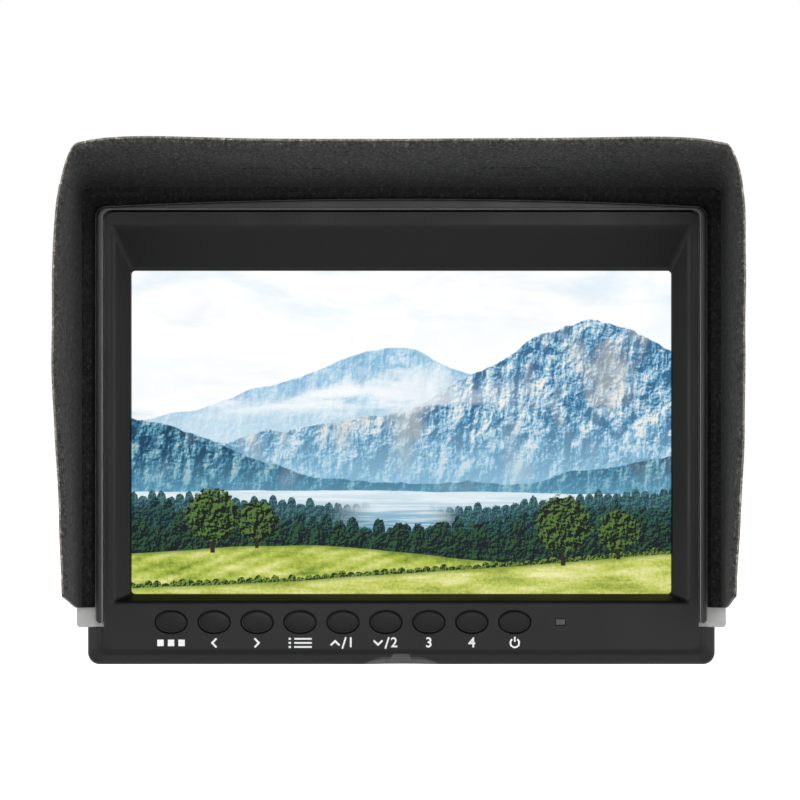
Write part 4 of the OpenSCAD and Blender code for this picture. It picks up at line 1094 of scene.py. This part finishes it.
# how far a side flap's front edge leans in, over its height, and the top flap's hangs down, over its width
BOW = {-1: [(17, 2.9), (24, 2.5), (37, 2.0), (51, 1.4), (68, 0.55), (84, -0.2), (118, -0.2), (130, 0.7),
            (BOW_TOP, 1.9)],
       1: [(17, 3.9), (26, 3.5), (56, 2.1), (78, 1.3), (118, 1.25), (130, 1.3), (BOW_TOP, 2.0)]}
DROOP = [(0, 0.7), (40, 0.35), (66, -0.15), (76, 0.0), (83, 0.55), (TOP_HALF, 1.7)]


def side_point(side, s, t, inset):
    """A point of a side flap: s runs up, t from the fold to the front edge, inset counts inwards."""
    z = (SIDE_LOW + LOW_RISE * t) + s * (SIDE_TOP - SIDE_LOW - LOW_RISE * t)
    x = SIDE_X - inset - blend_list(z, BOW[side]) * eased(t)
    ripple = 0.10 * math.sin(z * 0.11 + 1.3 * side) * t + 0.07 * math.sin(z * 0.27 + t * 3)
    y = HINGE_Y - FOLD_GAP - t * (DEPTH - FOLD_GAP)
    return Vector((side * (x + ripple * min(1, 4 * t)), y, z)) * MM


def top_edge(x, t, inset):
    """y and z of the top flap at x."""
    run = FOLD_GAP + t * (TOP_RUN - FOLD_GAP)
    z = TOP_HINGE[1] + THICK + run * math.sin(TOP_SLOPE) - inset - blend_list(abs(x), DROOP) * eased(t)
    z += 0.12 * math.sin(x * 0.06 + 0.8) * t
    return TOP_HINGE[0] - run * math.cos(TOP_SLOPE), z


def top_point(s, t, inset):
    """A point of the top flap: s runs from left to right."""
    x = -TOP_HALF + 2 * TOP_HALF * s
    y, z = top_edge(x, t, inset)
    return Vector((x, y, z)) * MM


def wing_point(side, s, t, inset):
    """The soft corner, a curve that leaves both flaps in their own direction. s runs from the top flap's edge
    down to the side flap."""
    y, z_top = top_edge(TOP_HALF, t, inset)
    x_low = SIDE_X - inset - blend_list(BOW_TOP, BOW[side]) * eased(t)
    w, h = x_low - TOP_HALF, z_top - WING_LOW
    grip = 0.62 - 0.2 * t
    fall = (top_edge(TOP_HALF, t, 0)[1] - top_edge(TOP_HALF - 1, t, 0)[1]) * grip * w
    lean = (blend_list(BOW_TOP, BOW[side]) - blend_list(BOW_TOP - 1, BOW[side])) * eased(t) * grip * h
    a, b = (TOP_HALF, z_top), (TOP_HALF + grip * w, z_top + fall)
    c, d = (x_low - lean, WING_LOW + grip * h), (x_low, WING_LOW)
    k = 1 - s
    x, z = (k ** 3 * p + 3 * k * k * s * q + 3 * k * s * s * r + s ** 3 * v for p, q, r, v in zip(a, b, c, d))
    return Vector((side * x, y, z)) * MM


def cloth(name, point, cells, inset, thick, size, corner=0.0, both=False, rolled=3.0, outside=0):
    """A sheet of fabric thick mm deep, its outer face inset mm below the outside of the hood. point maps s, t
    and inset to a place; size is the sheet's width and depth in mm. corner is the radius of the front corner
    at the low end of s, or of both front corners. Over the last mm given by rolled, the layers thin out towards
    the front edge, as a pressed and turned edge does. outside is the number of the finish on the outer face."""
    across, along = cells
    bpy.ops.mesh.primitive_grid_add(x_subdivisions=across, y_subdivisions=along, size=1, location=(0, 0, 0))
    piece = name_new(name)
    edit(piece)
    choose_all()
    draw_out(0, 0, -1)
    leave_edit()
    wide, deep = size
    inner = [vertex.co.z < -0.5 for vertex in piece.data.vertices]
    front = [vertex.co.y > 0.499 for vertex in piece.data.vertices]
    for vertex, is_inner in zip(piece.data.vertices, inner):
        s, t = vertex.co.x + 0.5, vertex.co.y + 0.5
        below = inset + thick * is_inner
        if rolled:
            t = 1 - (1 - t) ** 1.6
            near = min(1.0, (1 - t) * deep / rolled)
            below *= EDGE_THICK + (1 - EDGE_THICK) * math.sqrt(1 - (1 - near) ** 2)
        if corner and (s < 0.5 or both):
            from_side = min(s, 1 - s) * wide
            from_front = (1 - t) * deep
            if from_side < corner and from_front < corner:
                dx, dy = corner - from_side, corner - from_front
                pull = max(dx, dy) / math.hypot(dx, dy)
                from_side, from_front = corner - dx * pull, corner - dy * pull
                s = from_side / wide if s < 0.5 else 1 - from_side / wide
                t = 1 - from_front / deep
        vertex.co = point(s, t, below)
    for face in piece.data.polygons:
        sides = {inner[k] for k in face.vertices}
        is_rim = len(sides) > 1 and all(front[k] for k in face.vertices)
        face.material_index = 1 if is_rim else outside if sides == {False} else 0
    edit(piece)
    face_outwards()
    return piece


def fabric(piece, body, finish, rim, replaced):
    """Gives a sheet its finishes and rides it."""
    piece.data.materials.append(finish)
    piece.data.materials.append(rim)
    smooth_by_angle(piece, 45)
    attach(piece, body)
    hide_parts(*replaced)


def press_flat(piece):
    """Gives a piece a mesh of its own."""
    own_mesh(piece)


def draw_in(piece):
    """Gives a soft corner a mesh of its own."""
    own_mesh(piece)


# layers of a flap from the outside in: name, inset, thickness, slot, what it replaces, whether it is a sheet
LAYERS = (("outer_cloth", 0.0, 0.7, "hood_fabric", "cover", True),
          ("stiffener", 0.72, 0.64, "stiff_board", "board", False),
          ("felt", 1.38, 0.62, "felt", "lining", True))


def model_flap(word, point, cells, size, outer_cloth, side=0):
    """The layers of one flap. side is -1 for the left one, 1 for the right one and 0 for the top one."""
    finishes = {"hood_fabric": outer_cloth, "stiff_board": board_card, "felt": hood_felt}
    for layer, inset, thick, slot, node, is_sheet in LAYERS:
        sheet = cloth(f"{word}_flap_{layer}", point, cells, inset, thick, size, 2.0 if side else 0.0)
        fabric(sheet, word + "_flap", finishes[slot], edge_fibre, (f"{word}_flap_{node}",))
        if side:
            press_flat(sheet)


SIDES = ((-1, "left"), (1, "right"))
for side, word in SIDES:
    model_flap(word, partial(side_point, side), (60, 42), (117.0, 83.6), side_cloth,
               side)
    wing = partial(wing_point, side)
    corner = cloth(word + "_corner_felt", wing, (16, 42), 0.0, THICK, (12, TOP_RUN), outside=2)
    fabric(corner, "top_flap", hood_felt, edge_fibre, (word + "_corner_wing",))
    corner.data.materials.append(top_cloth)
    draw_in(corner)
model_flap("top", top_point, (90, 42), (2 * TOP_HALF, TOP_RUN), top_cloth)


# closures: hook patches outside the side flaps, loop patches under the top flap

def patch(name, point, s, t, inset, thick, body, replaced, finish):
    """A square of hook and loop tape that lies on the cloth; s and t are the ranges that it covers."""
    def spread(a, b, below):
        return point(s[0] + (s[1] - s[0]) * a, t[0] + (t[1] - t[0]) * b, below)

    piece = cloth(name, spread, (12, 12), inset, thick, (22, 22), 2.0, True, rolled=0)
    fabric(piece, body, finish, finish, replaced)
    return piece


for side, word in SIDES:
    low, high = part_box(word + "_hook_patch")
    t_range = [(HINGE_Y - FOLD_GAP - v / MM) / (DEPTH - FOLD_GAP) for v in (high.y, low.y)]
    rise = SIDE_LOW + LOW_RISE * sum(t_range) / 2
    s_range = [(v / MM - rise) / (SIDE_TOP - rise) for v in (low.z, high.z)]
    tape = patch(word + "_hook_tape", partial(side_point, side), s_range, t_range, -0.55, 0.55,
                 word + "_flap", (word + "_hook_patch",), hook_tape)
    press_flat(tape)

low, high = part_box("top_loop_patches")
for word, x_range in (("left", (low.x, low.x + 0.022)), ("right", (high.x - 0.022, high.x))):
    s_range = [(v / MM + TOP_HALF) / (2 * TOP_HALF) for v in x_range]
    t_range = [(TOP_HINGE[0] - v / MM) / TOP_RUN for v in (high.y, low.y)]
    patch(word + "_loop_tape", top_point, s_range, t_range, THICK + 0.01, 0.25,
          "top_flap", ("top_loop_patches",), hood_felt)


# the black cloth edging that joins the flaps to the rail

def edging_share(a, b):
    """Picks the long edges of the cloth edging, apart from those along the folds."""
    return 1.0 if (a - b).length > 100 and min(a.y, b.y) > -15.5 else 0.0


skirt = rounded_copy("hood_skirt", "hood_edging", 0.3, edging_share)
dress(skirt, "hood", hood_felt, ("hood_skirt",))


# ---------------------------------------------------------------- floor, light and camera

def stage_white():
    """A near-white floor that keeps the soft shadow close to the part and is plain white farther off."""
    f = Finish("White floor")
    rays = f.add("ShaderNodeLightPath")
    seen = f.math("MAXIMUM", rays.outputs["Is Camera Ray"], rays.outputs["Is Glossy Ray"])
    away = f.add("ShaderNodeVectorMath", operation="LENGTH")
    f.set(away.inputs[0], f.place)
    glow = f.fade(away.outputs["Value"], 0.35, 1.4, 0.45, 1.0)
    speck = f.noise(f.place, 6, detail=2)
    colour = f.mix(speck, "#f2f2f1", "#f6f6f5")
    return f.surface(colour, 0.9, specular_ior_level=0.1, emission_color=(1, 1, 1, 1),
                     emission_strength=f.times(seen, glow))


bpy.ops.mesh.primitive_plane_add(size=12, location=(0, 0, 0))
floor = name_new("floor")
floor.location.z = -0.10
floor.data.materials.append(stage_white())

world = bpy.data.worlds.new("Studio")
bpy.context.scene.world = world
world.use_nodes = True
tree = world.node_tree
tree.nodes.clear()
output = tree.nodes.new("ShaderNodeOutputWorld")
sky = tree.nodes.new("ShaderNodeBackground")
sky.inputs["Color"].default_value = (1, 1, 1, 1)
rays = tree.nodes.new("ShaderNodeLightPath")
seen = tree.nodes.new("ShaderNodeMath")
seen.operation = "MAXIMUM"
seen_too = tree.nodes.new("ShaderNodeMath")
seen_too.operation = "MAXIMUM"
level = tree.nodes.new("ShaderNodeMapRange")
level.inputs["To Min"].default_value = 0.25
level.inputs["To Max"].default_value = 1.0
tree.links.new(rays.outputs["Is Camera Ray"], seen.inputs[0])
tree.links.new(rays.outputs["Is Glossy Ray"], seen.inputs[1])
tree.links.new(seen.outputs[0], seen_too.inputs[0])
tree.links.new(rays.outputs["Is Transmission Ray"], seen_too.inputs[1])
tree.links.new(seen_too.outputs[0], level.inputs["Value"])
tree.links.new(level.outputs[0], sky.inputs["Strength"])
tree.links.new(sky.outputs[0], output.inputs["Surface"])


def lamp(name, place, aim, size, power):
    """A soft square lamp that shines from its place towards another."""
    bpy.ops.object.light_add(type="AREA", location=place)
    light = bpy.context.active_object
    light.name = name
    light.data.shape = "RECTANGLE"
    light.data.size, light.data.size_y = size
    light.data.energy = power
    light.rotation_euler = (Vector(aim) - Vector(place)).to_track_quat("-Z", "Y").to_euler()


lamp("front_softbox", (0.15, -1.75, 0.35), (0, 0, 0.08), (0.8, 0.6), 8)
lamp("right_softbox", (1.15, -0.80, 0.30), (0, 0, 0.08), (0.4, 0.8), 5.5)
lamp("left_softbox", (-1.10, -0.85, 0.30), (0, 0, 0.08), (0.3, 0.8), 5)
lamp("top_softbox", (0.1, -0.45, 1.3), (0, -0.2, 0.0), (0.9, 0.6), 6)
lamp("back_softbox", (-0.3, 1.2, 0.8), (0, 0, 0.08), (0.9, 0.6), 6)

camera_data = bpy.data.cameras.new("photo_camera")
camera = bpy.data.objects.new("photo_camera", camera_data)
bpy.context.scene.collection.objects.link(camera)
camera.location = (-0.0004, -1.315, 0.078)
camera.rotation_euler = (math.pi / 2, 0, 0)
camera_data.lens = 199
camera_data.sensor_width = 36
camera_data.clip_start = 0.01
bpy.context.scene.camera = camera

bpy.context.scene.view_settings.view_transform = "Standard"

leave_edit()
bpy.ops.object.select_all(action="DESELECT")
